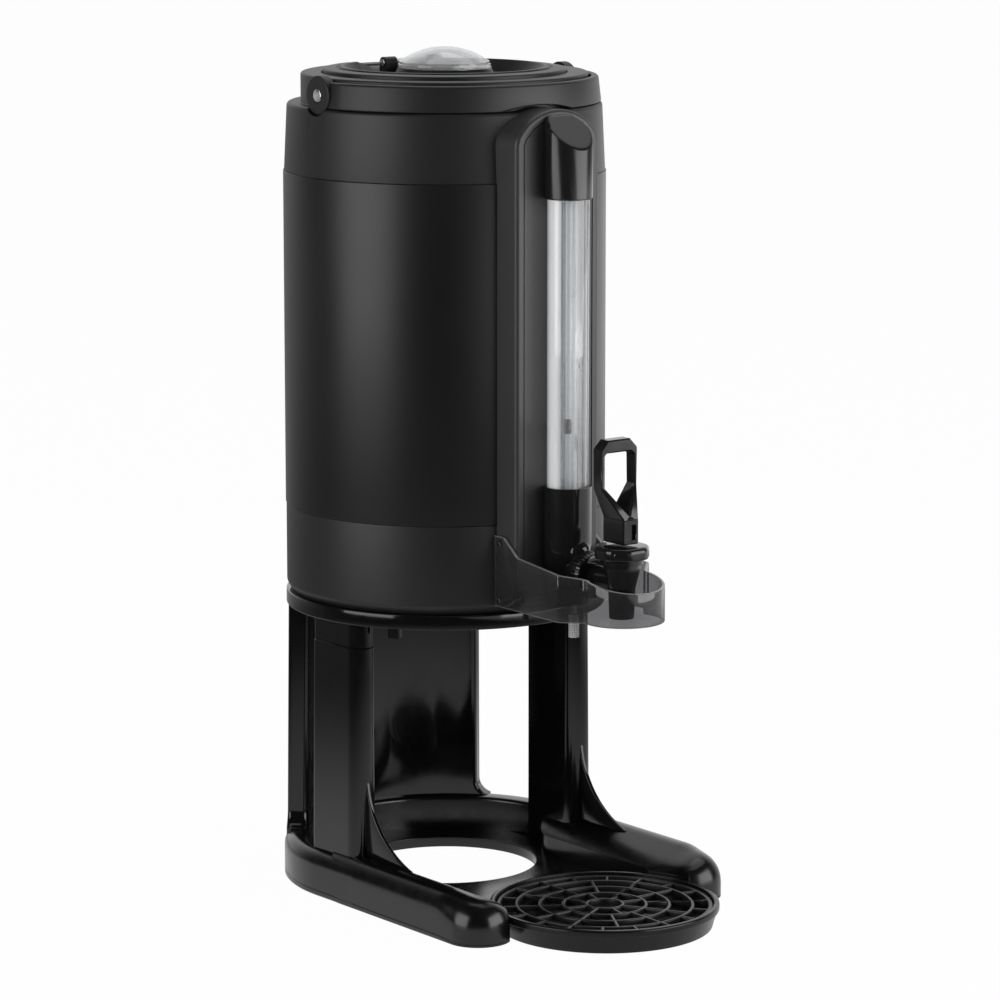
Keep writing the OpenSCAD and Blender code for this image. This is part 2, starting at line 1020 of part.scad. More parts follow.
module inner_liner() {
    shoulder = 24;
    top = vessel_top - 18;
    color(steel)
        difference() {
            rotate_extrude()
                polygon([
                    [0, liner_z],
                    [liner_r, liner_z],
                    [liner_r, top - shoulder],
                    [vessel_neck_r + liner_t, top],
                    [vessel_neck_r + liner_t, vessel_top],
                    [vessel_neck_r, vessel_top],
                    [vessel_neck_r, top - liner_t],
                    [liner_r - liner_t, top - shoulder - liner_t],
                    [liner_r - liner_t, liner_z + liner_t],
                    [0, liner_z + liner_t]
                ]);
            translate([0, -liner_r + outlet_lap + join, tap_z])
                y_rod(outlet_r + run, outlet_lap + 2 * join);
        }
}

module liner_seat() {
    color(rubber)
        translate([0, 0, seat_z + cover_t])
            ring(jacket_r - seat_inset, jacket_r - seat_inset - seat_w, seat_h);
}

module liner_gasket() {
    color(rubber)
        translate([0, 0, vessel_top - vessel_seal_h - 2])
            ring(mouth_in - fit_gap, vessel_neck_r + liner_t + fit_gap, vessel_seal_h);
}

module outlet_tube() {
    color(steel)
        translate([0, -liner_r + outlet_lap, tap_z])
            difference() {
                y_rod(outlet_r, housing_y - liner_r + outlet_lap);
                translate([0, join, 0])
                    y_rod(outlet_in, housing_y - liner_r + outlet_lap + 2 * join);
            }
}

module outlet_grommet() {
    color(rubber)
        translate([0, -band_r + band_wall, tap_z])
            difference() {
                y_rod(grommet_r - seal_gap, band_wall);
                translate([0, join, 0])
                    y_rod(outlet_r + seal_gap, band_wall + 2 * join);
            }
}

// Lid

module lid_top() {
    seat = lid_seat_z;
    color(soft_black)
        difference() {
            union() {
                rotate_extrude()
                    polygon([
                        [fill_r, bowl_z - lid_floor_t],
                        [bowl_r - bowl_side, bowl_z - lid_floor_t],
                        [plug_r + 3, seat],
                        [lid_r, seat],
                        [lid_r, lid_top_z - 1],
                        [lid_r - 1, lid_top_z],
                        [bowl_r + 3, bowl_rim_z],
                        [bowl_r, bowl_rim_z],
                        [bowl_r - bowl_side, bowl_z],
                        [hub_r + bowl_land, bowl_z],
                        [hub_r, hub_z],
                        [hub_r - 4, hub_z],
                        [fill_r, hub_z - 6]
                    ]);
                pair()
                    translate([knuckle_x, hinge_y, 0]) {
                        translate([0, 0, hinge_z])
                            rotate([0, 90, 0])
                                cylinder(r = knuckle_r, h = knuckle_l);
                        translate([0, -knuckle_r, bowl_z - 2])
                            cube([knuckle_l, 2 * knuckle_r, hinge_z - bowl_z + 2]);
                    }
            }
            translate([0, bowl_r - scoop_in, bowl_rim_z + scoop_r - scoop_d])
                rotate([-90, 0, 0])
                    cylinder(r = scoop_r, h = lid_r - bowl_r + scoop_in + join);
            translate([0, hinge_y, hinge_z])
                x_rod(dome_pin_r + run, 2 * (knuckle_x + knuckle_l + join));
        }
}

module lid_base() {
    color(soft_black)
        rotate_extrude()
            polygon([
                [fill_r, bowl_z - lid_floor_t - plug_h],
                [plug_r - 8, bowl_z - lid_floor_t - plug_h],
                [plug_r, bowl_z - lid_floor_t - plug_h + 4],
                [plug_r, bowl_z - 6],
                [bowl_r - bowl_side - 1, bowl_z - lid_floor_t],
                [fill_r, bowl_z - lid_floor_t]
            ]);
}

module lid_gasket() {
    color(rubber)
        translate([0, 0, vessel_top - lid_seal_drop])
            ring(vessel_neck_r - gap, plug_r + seal_gap, lid_seal_h);
}

module dome_pin() {
    color(steel)
        translate([0, hinge_y, hinge_z])
            x_rod(dome_pin_r, 2 * (knuckle_x + knuckle_l) + 1);
}

module dome_cover() {
    knuckle_w = 2 * (knuckle_x - knuckle_gap);
    color(clear)
        difference() {
            union() {
                translate([0, 0, dome_z])
                    cylinder(r = dome_r, h = dome_wall_h);
                intersection() {
                    translate([0, 0, dome_top - dome_ball])
                        sphere(dome_ball);
                    translate([0, 0, dome_z + dome_wall_h - join])
                        cylinder(r = dome_r, h = dome_rise + 2 * join);
                }
                translate([-tab_w / 2, -dome_r - tab_l, dome_z])
                    cube([tab_w, tab_l + 8, dome_t]);
                translate([-knuckle_w / 2, dome_r - 4, dome_z])
                    cube([knuckle_w, hinge_y - dome_r + 4, dome_t]);
                translate([0, hinge_y, hinge_z])
                    x_rod(knuckle_r - 1.3, knuckle_w);
            }
            translate([0, 0, dome_z - join])
                cylinder(r = dome_r - dome_t, h = dome_wall_h + join);
            intersection() {
                translate([0, 0, dome_top - dome_ball])
                    sphere(dome_ball - dome_t);
                translate([0, 0, dome_z])
                    cylinder(r = dome_r - dome_t, h = dome_wall_h + dome_rise);
            }
            translate([0, hinge_y, hinge_z])
                x_rod(dome_pin_r + run, knuckle_w + 2 * join);
        }
}

// Handle

module bail_handle() {
    color(soft_black)
        difference() {
            union() {
                rotate([0, 0, 180 + handle_end])
                    rotate_extrude(angle = 180 - 2 * handle_end)
                        polygon([
                            [handle_in, handle_z],
                            [handle_low_r, handle_z],
                            [handle_top_r, handle_z + handle_h - 1.5],
                            [handle_top_r - 1.5, handle_z + handle_h],
                            [handle_in, handle_z + handle_h]
                        ]);
                pair()
                    translate([ear_x, 0, pivot_z])
                        rotate([0, 90, 0])
                            cylinder(r = ear_r, h = ear_out - ear_x);
            }
            translate([0, -neck_r + arch_d, handle_z + arch_d - arch_r])
                y_rod(arch_r, handle_low_r - neck_r + 2 * arch_d);
            translate([0, 0, pivot_z])
                x_rod(handle_pin_r + run, 2 * ear_out + 2 * join);
            pair()
                translate([ear_out - pin_head_h, 0, pivot_z])
                    rotate([0, 90, 0])
                        cylinder(r = pin_head_r + gap, h = pin_head_h + join);
        }
}

module handle_pins() {
    color(steel)
        pair()
            translate([pin_in + 1, 0, pivot_z])
                rotate([0, 90, 0]) {
                    cylinder(r = handle_pin_r, h = ear_out - pin_in - 1);
                    translate([0, 0, ear_out - pin_in - 1 - pin_head_h + gap])
                        cylinder(r = pin_head_r, h = pin_head_h);
                }
}

// Level gauge

module housing_face(inset) {
    hw = housing_hw - inset;
    arc_z = housing_top - housing_arc_r;
    translate([-hw, housing_z + inset])
        square([2 * hw, arc_z + arch_overlap - housing_z - inset]);
    intersection() {
        translate([0, arc_z])
            circle(housing_arc_r - inset);
        translate([-hw, arc_z])
            square([2 * hw, housing_arc_r]);
    }
}

module gauge_housing() {
    color(soft_black)
        difference() {
            translate([0, -housing_back, 0])
                rotate([90, 0, 0])
                    linear_extrude(height = housing_depth)
                        housing_face(0);
            translate([0, -housing_back + join, 0])
                rotate([90, 0, 0])
                    linear_extrude(height = housing_depth + join - face_t)
                        housing_face(housing_wall);
            translate([0, 0, seat_z - join])
                cylinder(r = band_r + gap, h = band_h + join);
            translate([0, 0, band_top - join])
                cylinder(r = shell_r + gap, h = shell_h + join);
            skirt_solid(gap);
            translate([0, 0, ledge_z - join])
                cylinder(r = handle_low_r + 1, h = housing_top - ledge_z + 2 * join);
            translate([0, -gauge_y, housing_z - join])
                cylinder(r = shield_r + 0.5, h = cap_z + socket_depth + gap + join - housing_z);
            translate([0, -housing_back, tap_z])
                y_rod(outlet_r + gap, housing_depth + join);
            pair()
                at_rivets()
                    rotate([0, 90, 0])
                        cylinder(r = rivet_shank_r + run, h = 4 * housing_wall, center = true);
        }
}

module at_rivets() {
    for (z = [guard_z + rivet_inset, guard_z + guard_tab_h - rivet_inset])
        translate([housing_hw, -rivet_y, z])
            children();
}

// Upright half-round block that stands against the face of the housing
module gauge_block(z1, z2) {
    intersection() {
        translate([0, -gauge_y, z1])
            cylinder(r = gauge_r, h = z2 - z1);
        translate([-gauge_r - join, -gauge_y - gauge_r - join, z1])
            cube([2 * gauge_r + 2 * join, gauge_y + gauge_r + join - housing_y, z2 - z1]);
    }
}

module gauge_cap() {
    color(soft_black)
        difference() {
            gauge_block(cap_z, housing_top);
            translate([0, -gauge_y - gauge_r, cap_z + cap_front_h])
                rotate([atan(cap_slope), 0, 0])
                    translate([-2 * gauge_r, -gauge_r, 0])
                        cube(4 * gauge_r);
            translate([0, -gauge_y, cap_z - join]) {
                cylinder(r = shield_r + fit_gap, h = socket_depth + join);
                cylinder(r = seal_r, h = socket_depth + seal_h + join);
                cylinder(r = glass_r + fit_gap, h = glass_top - cap_z + 2 * join);
            }
        }
}

module gauge_socket() {
    color(soft_black)
        difference() {
            union() {
                gauge_block(socket_z, socket_top);
                translate([0, -gauge_y, tap_z])
                    y_rod(boss_out_r, boss_y - gauge_y);
                translate([0, -elbow_y, tap_z])
                    cylinder(r = elbow_r, h = elbow_z - tap_z);
                translate([0, -elbow_y, elbow_z])
                    sphere(elbow_r);
            }
            translate([0, -gauge_y, socket_top - socket_depth])
                cylinder(r = shield_r + fit_gap, h = socket_depth + join);
            translate([0, -gauge_y, socket_top - socket_depth - seal_h])
                cylinder(r = seal_r, h = seal_h + join);
            translate([0, -gauge_y, glass_z])
                cylinder(r = glass_r + fit_gap, h = socket_top - glass_z);
            translate([0, -gauge_y, tap_z])
                cylinder(r = glass_r - glass_t, h = socket_top - tap_z - join);
            translate([0, -housing_y + join, tap_z])
                y_rod(flow_r, boss_y - housing_y + 2 * join);
            translate([0, -shank_y + gap, tap_z])
                y_rod(shank_r + fit_gap, boss_y - shank_y + 2 * join);
            translate([0, -thumb_y, socket_z - join])
                cylinder(r = thumb_shank_r + run, h = thumb_shank_in + 2 * join);
        }
}

module gauge_shield() {
    color(clear)
        translate([0, -gauge_y, socket_top - socket_depth])
            ring(shield_r, shield_r - shield_t, cap_z - socket_top + 2 * socket_depth);
}

module gauge_glass() {
    color(clear)
        translate([0, -gauge_y, glass_z])
            ring(glass_r, glass_r - glass_t, glass_top - glass_z);
}

module gauge_seals() {
    color(rubber)
        for (z = [socket_top - socket_depth - seal_h, cap_z + socket_depth])
            translate([0, -gauge_y, z])
                ring(seal_r - seal_gap, glass_r + seal_gap, seal_h);
}

module gauge_float() {
    color(float_black)
        translate([0, -gauge_y, float_z]) {
            cylinder(r = float_r, h = float_l - float_r);
            translate([0, 0, float_l - float_r])
                sphere(float_r);
        }
}

// Tap

module tap_body() {
    color(soft_black)
        difference() {
            union() {
                translate([0, -tap_y, 0])
                    rotate_extrude()
                        polygon([
                            [0, spout_z],
                            [spout_r, spout_z],
                            [spout_r + 1, tap_z - 3],
                            [tap_neck_r, bonnet_z - flange_h - 3],
                            [tap_neck_r, bonnet_z - flange_h],
                            [flange_r, bonnet_z - flange_h],
                            [flange_r, bonnet_z],
                            [0, bonnet_z]
                        ]);
                translate([0, -shank_y, tap_z])
                    y_rod(shank_r, tap_y - shank_y);
            }
            translate([0, -tap_y, 0]) {
                translate([0, 0, spout_z - join])
                    cylinder(r = spout_in, h = seat_level - spout_z + 2 * join);
                translate([0, 0, seat_level])
                    cylinder(r = cavity_r, h = bonnet_z - seat_level);
                translate([0, 0, guide_z])
                    cylinder(r = head_r, h = bonnet_z - guide_z + join);
            }
            translate([0, -shank_y + join, tap_z])
                y_rod(flow_r, tap_y - shank_y);
        }
}

module shank_nut() {
    color(soft_black)
        translate([0, -boss_y - gap, tap_z])
            rotate([90, 0, 0])
                difference() {
                    union() {
                        linear_extrude(height = nut_w - 3)
                            toothed(nut_r, 0.7, nut_teeth);
                        cylinder(r = nut_r - 1.2, h = nut_w);
                    }
                    translate([0, 0, -join])
                        cylinder(r = shank_r + seal_gap, h = nut_w + 2 * join);
                }
}

module tap_bonnet() {
    color(soft_black)
        difference() {
            translate([0, -tap_y, bonnet_z])
                intersection() {
                    rotate_extrude()
                        polygon([
                            [0, 0],
                            [bonnet_r, 0],
                            [bonnet_r, bonnet_h - 2],
                            [bonnet_r - 2, bonnet_h],
                            [0, bonnet_h]
                        ]);
                    rotate([0, 0, 22.5])
                        cylinder(r = bonnet_r * 1.045, h = bonnet_h, $fn = 8);
                }
            translate([0, -tap_y, bonnet_z - join])
                cylinder(r = bonnet_in, h = bonnet_h - bonnet_roof + join);
            translate([-slot_hw, -tap_y - bonnet_r - join, bonnet_z + 1])
                cube([2 * slot_hw, 2 * bonnet_r - 4, bonnet_h]);
            translate([0, -pivot_y, lever_pivot_z])
                x_rod(lever_pin_r + run, lever_pin_l + 2 * run);
        }
}

module lever_pin() {
    color(steel)
        translate([0, -pivot_y, lever_pivot_z])
            x_rod(lever_pin_r, lever_pin_l);
}

// Front outline of the lever loop
module lever_front_outline() {
    polygon([
        [-lever_stem_hw, lever_foot],
        [lever_stem_hw, lever_foot],
        [lever_stem_hw, lever_waist_z],
        [lever_hw, lever_knee_z],
        [lever_hw, lever_top - lever_corner],
        [lever_hw - lever_corner, lever_top],
        [lever_corner - lever_hw, lever_top],
        [-lever_hw, lever_top - lever_corner],
        [-lever_hw, lever_knee_z],
        [-lever_stem_hw, lever_waist_z]
    ]);
}

module lever_window() {
    polygon([
        [0, window_low],
        [window_hw, window_low + window_vee],
        [window_hw, window_top - window_corner],
        [window_hw - window_corner, window_top],
        [window_corner - window_hw, window_top],
        [-window_hw, window_top - window_corner],
        [-window_hw, window_low + window_vee]
    ]);
}

module tap_lever() {
    color(soft_black)
        difference() {
            union() {
                intersection() {
                    translate([0, -lever_back + join, 0])
                        rotate([90, 0, 0])
                            linear_extrude(height = lever_front - lever_back + 2 * join)
                                difference() {
                                    lever_front_outline();
                                    lever_window();
                                }
                    side_cut([
                        [lever_back, lever_foot],
                        [lever_front, lever_foot],
                        [lever_front, lever_waist_z],
                        [lever_top_front, lever_knee_z],
                        [lever_top_front, lever_top - 2],
                        [lever_top_front - 2, lever_top],
                        [lever_back + 2, lever_top],
                        [lever_back, lever_top - 2]
                    ], 2 * (lever_hw + join));
                }
                // Cheeks that reach down to the pin and the stem
                for (x = [-1, 1])
                    translate([x * (cheek_in + cheek_out) / 2, 0, 0])
                        side_cut([
                            [pivot_y + 3.4, lever_pivot_z - 2.6],
                            [pivot_y + 3.4, lever_foot + join],
                            [tap_y - 4, lever_foot + join],
                            [tap_y - 4, trunnion_z - 3],
                            [tap_y + 2.5, trunnion_z - 3],
                            [pivot_y - 2, lever_pivot_z - 3.4]
                        ], cheek_out - cheek_in);
            }
            translate([0, -pivot_y, lever_pivot_z])
                x_rod(lever_pin_r + run, 2 * (cheek_out + join));
            translate([0, -tap_y - 0.8, trunnion_z + 0.4])
                x_rod(cheek_hole_r, 2 * (cheek_out + join));
            // Pocket in the front of the stem
            translate([-4.5, -lever_front - join, lever_foot + 3])
                cube([9, 2.5 + join, 11]);
        }
}

module tap_stem() {
    color(steel)
        translate([0, -tap_y, 0]) {
            translate([0, 0, foot_disc_z])
                cylinder(r = foot_disc_r, h = foot_disc_h);
            translate([0, 0, foot_disc_z])
                cylinder(r = stem_r, h = trunnion_z - foot_disc_z);
            translate([0, 0, trunnion_z])
                x_rod(trunnion_r, trunnion_l);
        }
}

module seat_cup() {
    color(rubber)
        translate([0, -tap_y, 0])
            difference() {
                translate([0, 0, cup_z])
                    cylinder(r = cup_r, h = cup_h);
                translate([0, 0, foot_disc_z - run])
                    cylinder(r = foot_disc_r + run, h = foot_disc_h + 2 * run);
                translate([0, 0, foot_disc_z + join])
                    cylinder(r = stem_r + run, h = cup_h);
            }
}

module stem_guide() {
    color(soft_black)
        translate([0, -tap_y, guide_z])
            ring(head_r - seal_gap, stem_r + seal_gap, guide_t);
}

module stem_spring() {
    low = cup_z + cup_h + seal_gap;
    color(steel)
        translate([0, -tap_y, low])
            linear_extrude(height = guide_z - low - seal_gap, twist = -360 * spring_turns, $fn = 16)
                translate([spring_r, 0])
                    circle(wire_r, $fn = 6);
}

// Guard

// Direction from a to b, and the side of it that the inner face is on
function heading(a, b) = (b - a) / norm(b - a);
function inward(d) = guard_t * [d[1], -d[0]];

// Height in plan at which the side walls meet the round nose
function guard_neck_y() = -guard_y + sqrt(guard_r * guard_r - guard_neck_x * guard_neck_x);

// Plan of one side wall, which runs on into the nose by the joining overlap
module guard_side_plan() {
    start = [guard_side, -sqrt(pow(band_r + gap, 2) - pow(guard_in, 2))];
    waist = [guard_side + guard_splay, -guard_waist_y];
    meet = [guard_neck_x, guard_neck_y()];
    neck = meet + 1.5 * join * heading(waist, meet);
    in1 = inward(heading(start, waist));
    in2 = inward(heading(waist, neck));
    bend = (in1 + in2) / (1 + in1 * in2 / (guard_t * guard_t));
    polygon([start, waist, neck, neck + in2, waist + bend, start + in1]);
}

module guard_nose_plan() {
    difference() {
        translate([0, -guard_y])
            circle(guard_r);
        translate([0, -guard_y])
            circle(guard_r - guard_t);
        translate([-guard_r, guard_neck_y() + join])
            square(2 * guard_r);
    }
}

module tap_guard() {
    top = guard_z + guard_tab_h;
    color(smoke)
        difference() {
            translate([0, 0, guard_z])
                union() {
                    pair()
                        linear_extrude(height = guard_tab_h)
                            guard_side_plan();
                    linear_extrude(height = guard_tab_h)
                        guard_nose_plan();
                }
            side_cut([
                [guard_tab_y, top + join],
                [guard_tab_y, top],
                [guard_bend_y, guard_z + guard_bend_h],
                [guard_waist_y, guard_z + guard_waist_h],
                [guard_y + guard_r, guard_z + guard_nose_h],
                [guard_y + guard_r + 10, guard_z + guard_nose_h],
                [guard_y + guard_r + 10, top + join]
            ], 2 * (guard_side + guard_splay + join));
            pair()
                at_rivets()
                    rotate([0, 90, 0])
                        cylinder(r = rivet_shank_r + run, h = 4 * housing_wall, center = true);
        }
}

module guard_rivets() {
    color(steel)
        pair()
            at_rivets() {
                translate([guard_side - housing_hw + rivet_lift, 0, 0])
                    rotate([0, 90, 0])
                        cylinder(r1 = rivet_r, r2 = rivet_r - 0.8, h = rivet_head_h);
                translate([-housing_wall, 0, 0])
                    rotate([0, 90, 0])
                        cylinder(r = rivet_shank_r, h = housing_wall + guard_side - housing_hw + join);
            }
}

module thumb_screw() {
    color(steel)
        translate([0, -thumb_y, thumb_z]) {
            linear_extrude(height = thumb_h)
                toothed(thumb_r, 0.4, thumb_teeth);
            cylinder(r = thumb_shank_r, h = socket_z - thumb_z + thumb_shank_in);
        }
}

place() {
    stand_base();
    column_left();
    column_right();
    rear_panel();
    seat_ring();
    stand_screws();
    stand_pads();
    drip_tray();
    drip_grille();
    bottom_cover();
    body_pegs();
    cover_screws();
    lower_band();
    outer_shell();
    upper_collar();
    vacuum_jacket();
    inner_liner();
    liner_seat();
    liner_gasket();
    outlet_tube();
    outlet_grommet();
    lid_top();
    lid_base();
    lid_gasket();
    dome_pin();
    dome_cover();
    bail_handle();
    handle_pins();
    gauge_housing();
    gauge_cap();
    gauge_shield();
    gauge_glass();
    gauge_seals();
    gauge_float();
    gauge_socket();
    tap_body();
    shank_nut();
    tap_bonnet();
    lever_pin();
    tap_lever();
    tap_stem();
    seat_cup();
    stem_guide();
    stem_spring();
    tap_guard();
    guard_rivets();
    thumb_screw();
}
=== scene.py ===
"""Looks of a thermal coffee dispenser on its drip-tray stand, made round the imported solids.

Shapes are worked out in millimetres about the upright axis of the round body, with the tap
towards -Y, and place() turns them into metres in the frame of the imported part.
"""

import json
from math import acos, asin, atan2, cos, pi, radians, sin, tan

import bmesh
import bpy
import numpy as np
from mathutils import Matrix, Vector


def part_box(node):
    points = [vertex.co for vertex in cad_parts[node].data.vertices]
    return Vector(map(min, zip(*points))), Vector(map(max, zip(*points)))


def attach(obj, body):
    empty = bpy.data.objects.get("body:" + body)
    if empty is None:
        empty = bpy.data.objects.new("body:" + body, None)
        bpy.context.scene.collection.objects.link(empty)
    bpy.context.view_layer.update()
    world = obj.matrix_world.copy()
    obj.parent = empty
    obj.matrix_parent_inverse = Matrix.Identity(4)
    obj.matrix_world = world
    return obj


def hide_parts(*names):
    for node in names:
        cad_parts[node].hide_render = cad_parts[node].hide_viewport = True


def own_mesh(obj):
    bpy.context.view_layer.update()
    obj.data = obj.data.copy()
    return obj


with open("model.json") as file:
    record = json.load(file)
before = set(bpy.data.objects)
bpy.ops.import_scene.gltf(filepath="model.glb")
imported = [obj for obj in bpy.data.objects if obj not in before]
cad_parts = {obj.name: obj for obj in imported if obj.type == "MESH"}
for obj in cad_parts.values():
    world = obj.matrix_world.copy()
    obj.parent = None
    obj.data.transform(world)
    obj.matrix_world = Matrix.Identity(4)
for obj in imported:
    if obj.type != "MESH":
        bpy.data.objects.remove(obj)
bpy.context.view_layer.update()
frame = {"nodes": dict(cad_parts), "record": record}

bl_info = {
    "name": "Coffee dispenser looks",
    "version": (1, 0, 0),
    "blender": (4, 5, 0),
    "location": "View3D > Sidebar > Dispenser",
    "description": "Dresses the packed coffee dispenser with finished surfaces and materials",
    "category": "Object",
}

MM = 0.001
TURN = 2 * pi
AXIS_Y = sum(corner.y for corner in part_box("outer_shell")) / 2


# Numbers about the body axis, in millimetres


def span(node, axis):
    """Lowest and highest place of a solid along x, y or z, about the body axis, in millimetres."""
    i = "xyz".index(axis)
    shift = AXIS_Y if axis == "y" else 0.0
    return [(corner[i] - shift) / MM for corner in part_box(node)]


def middle(node, axis):
    return sum(span(node, axis)) / 2


BAND_H, NECK_H, LEDGE_W, NECK_W, PIVOT_H, TAP_H = 64.0, 21.1, 13.0, 15.0, 9.2, 33.0
SHELL_R = span("outer_shell", "x")[1]
BAND_TOP, SHELL_TOP = span("outer_shell", "z")
BAND_Z = BAND_TOP - BAND_H
NECK_TOP = span("upper_collar", "z")[1]
LEDGE_Z = NECK_TOP - NECK_H
NECK_R = SHELL_R - LEDGE_W
MOUTH_R = NECK_R - NECK_W
LID_SEAT = NECK_TOP - 5
PIVOT_Z = LEDGE_Z + PIVOT_H
BASE_R = span("stand_base", "x")[1]
BASE_H, FOOT_H = 32.0, span("stand_base", "z")[1]
TRAY_Y, TRAY_R, TRAY_H = middle("drip_tray", "y"), span("drip_tray", "x")[1], span("drip_tray", "z")[1]
HOUSING_Y = span("gauge_housing", "y")[0]
GAUGE_Y, TAP_Y = middle("gauge_glass", "y"), middle("tap_bonnet", "y")
TAP_Z = BAND_Z + TAP_H


# Shapes


def place(points):
    """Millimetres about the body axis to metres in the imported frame."""
    points = np.array(points, float) * MM
    points[..., 1] += AXIS_Y
    return points


def grid(*along):
    """Points from coordinates that broadcast together."""
    return np.stack(np.broadcast_arrays(*along), -1)


def unit(v):
    return v / np.maximum(np.linalg.norm(v, axis=-1, keepdims=True), 1e-12)


def smooth(t):
    """Step from 0 to 1 with level ends: t^2 (3 - 2 t)."""
    t = np.clip(t, 0, 1)
    return t * t * (3 - 2 * t)


def soft_min(a, b, k):
    """The lower of two heights with a rounded meeting of width k."""
    h = np.clip(0.5 + 0.5 * (b - a) / k, 0, 1)
    return b + (a - b) * h - k * h * (1 - h)


def bow(r, d):
    """Height of a circle of radius r at a distance d from its middle: sqrt(r^2 - d^2), and 0 past its edge."""
    return np.sqrt(np.maximum(r * r - d * d, 0))


def bow_radius(half, rise):
    """Radius of an arc with a given half width and rise."""
    return (half ** 2 + rise ** 2) / (2 * rise)


def rounded(points, radius, steps=5):
    """Outline with arcs for corners: an arc of radius r starts r / tan(half the corner) along each edge."""
    p = np.array(points, float)
    r = np.broadcast_to(np.asarray(radius, float), len(p))
    before, after = np.roll(p, 1, 0) - p, np.roll(p, -1, 0) - p
    d1, d2 = unit(before), unit(after)
    half = np.arccos(np.clip((d1 * d2).sum(1), -1, 1)) / 2
    half = np.clip(half, 1e-3, pi / 2 - 1e-6)
    room = 0.48 * np.minimum(np.linalg.norm(before, axis=1), np.linalg.norm(after, axis=1))
    back = np.minimum(r / np.tan(half), room)
    r = back * np.tan(half)
    centre = p + unit(d1 + d2) * (r / np.sin(half))[:, None]
    start, end = p + d1 * back[:, None] - centre, p + d2 * back[:, None] - centre
    a0, a1 = np.arctan2(start[:, 1], start[:, 0]), np.arctan2(end[:, 1], end[:, 0])
    turn = (a1 - a0 + pi) % TURN - pi
    a = a0[:, None] + turn[:, None] * np.linspace(0, 1, steps)
    arc = centre[:, None] + r[:, None, None] * grid(np.cos(a), np.sin(a))
    arc = np.where((r > 1e-9)[:, None, None], arc, p[:, None])
    return arc.reshape(-1, 2)


def strip(x0, x1, y0, y1, radius, steps=5):
    """Rectangle between two places each way, with rounded corners counted from the lowest one."""
    return rounded([[x0, y0], [x1, y0], [x1, y1], [x0, y1]], radius, steps)


def box_outline(w, d, r, centre=(0.0, 0.0), steps=5):
    """Rectangle of a width and a depth about a centre, with rounded corners."""
    return strip(-w / 2, w / 2, -d / 2, d / 2, r, steps) + centre


def even(points, count, closed=True):
    """The same outline with its points at even steps of arc length."""
    p = np.vstack([points, points[:1]]) if closed else np.asarray(points, float)
    s = np.concatenate([[0], np.cumsum(np.linalg.norm(np.diff(p, axis=0), axis=1))])
    t = np.linspace(0, s[-1], count + closed)[: count]
    return np.stack([np.interp(t, s, p[:, i]) for i in range(p.shape[1])], -1)


def inward_of(outline):
    """The way into a closed outline at each of its points, square to the step between its neighbours."""
    step = unit(np.roll(outline, -1, 0) - np.roll(outline, 1, 0))
    x, y = outline.T
    area = (x * np.roll(y, -1) - np.roll(x, -1) * y).sum()
    return grid(-step[:, 1], step[:, 0]) * np.sign(area)


class Sheet:
    """Rows of points, each a closed loop. Named end rows are capped. With none, the last row joins the first."""

    def __init__(self, points, caps=("first", "last")):
        self.points, self.caps = np.asarray(points, float), caps

    def faces(self, start):
        rows, count = self.points.shape[:2]
        a, b = np.meshgrid(np.arange(rows - bool(self.caps)), np.arange(count), indexing="ij")
        c, d = (a + 1) % rows, (b + 1) % count
        quads = grid(a * count + b, c * count + b, c * count + d, a * count + d)
        ends = {"first": start + np.arange(count), "last": start + (rows - 1) * count + np.arange(count)}
        return (quads.reshape(-1, 4) + start).tolist() + [ends[cap].tolist() for cap in self.caps]


def lathe(profile, centre=(0.0, 0.0), segments=192, change=None):
    """Turned surface: (cx + r cos a, cy + r sin a, z) for profile points (r, z), shifted by change(points, a)."""
    r, z = np.asarray(profile, float).T[:, None]
    a = (np.arange(segments) * TURN / segments)[:, None]
    points = grid(centre[0] + r * np.cos(a), centre[1] + r * np.sin(a), z)
    return Sheet(points if change is None else change(points, a), ())


def turned(sheet, axis, at):
    """A lathe about Z at the origin, turned to run along +X or -Y and moved to a place."""
    x, y, z = np.moveaxis(sheet.points, -1, 0)
    order = {"+x": (z, x, y), "-y": (x, -z, y)}[axis]
    return Sheet(grid(*order) + at, sheet.caps)


def rod(profile, segments, at):
    """A lathe along +X through a place."""
    return turned(lathe(profile, segments=segments), "+x", at)


def loft(outlines, levels, axis="z"):
    """Closed outlines stacked along an axis: one outline of plan points for each level, with flat ends."""
    a, b = np.moveaxis(np.asarray(outlines, float), -1, 0)
    level = np.asarray(levels, float)[:, None]
    return Sheet(grid(*{"z": (a, b, level), "x": (level, a, b)}[axis]))


def soft_prism(outline, low, high, edge, axis="z"):
    """Outline raised from low to high with rounded ends: the inset is r (1 - sin t) at the depth r (1 - cos t)."""
    t = np.linspace(0, pi / 2, 4)
    inset, depth = edge * (1 - np.sin(t)), edge * (1 - np.cos(t))
    inward = inward_of(outline)
    rings = [outline + inward * i for i in [*inset, *inset[::-1]]]
    return loft(rings, [*(low + depth), *(high - depth)[::-1]], axis)


def mirrored(sheet):
    return Sheet(sheet.points * [-1, 1, 1], sheet.caps)


def both(sheet):
    """A sheet and its mirror image across the middle of the object."""
    return [sheet, mirrored(sheet)]


def add_object(name, data):
    made = bpy.data.objects.new(name, data)
    bpy.context.scene.collection.objects.link(made)
    return made


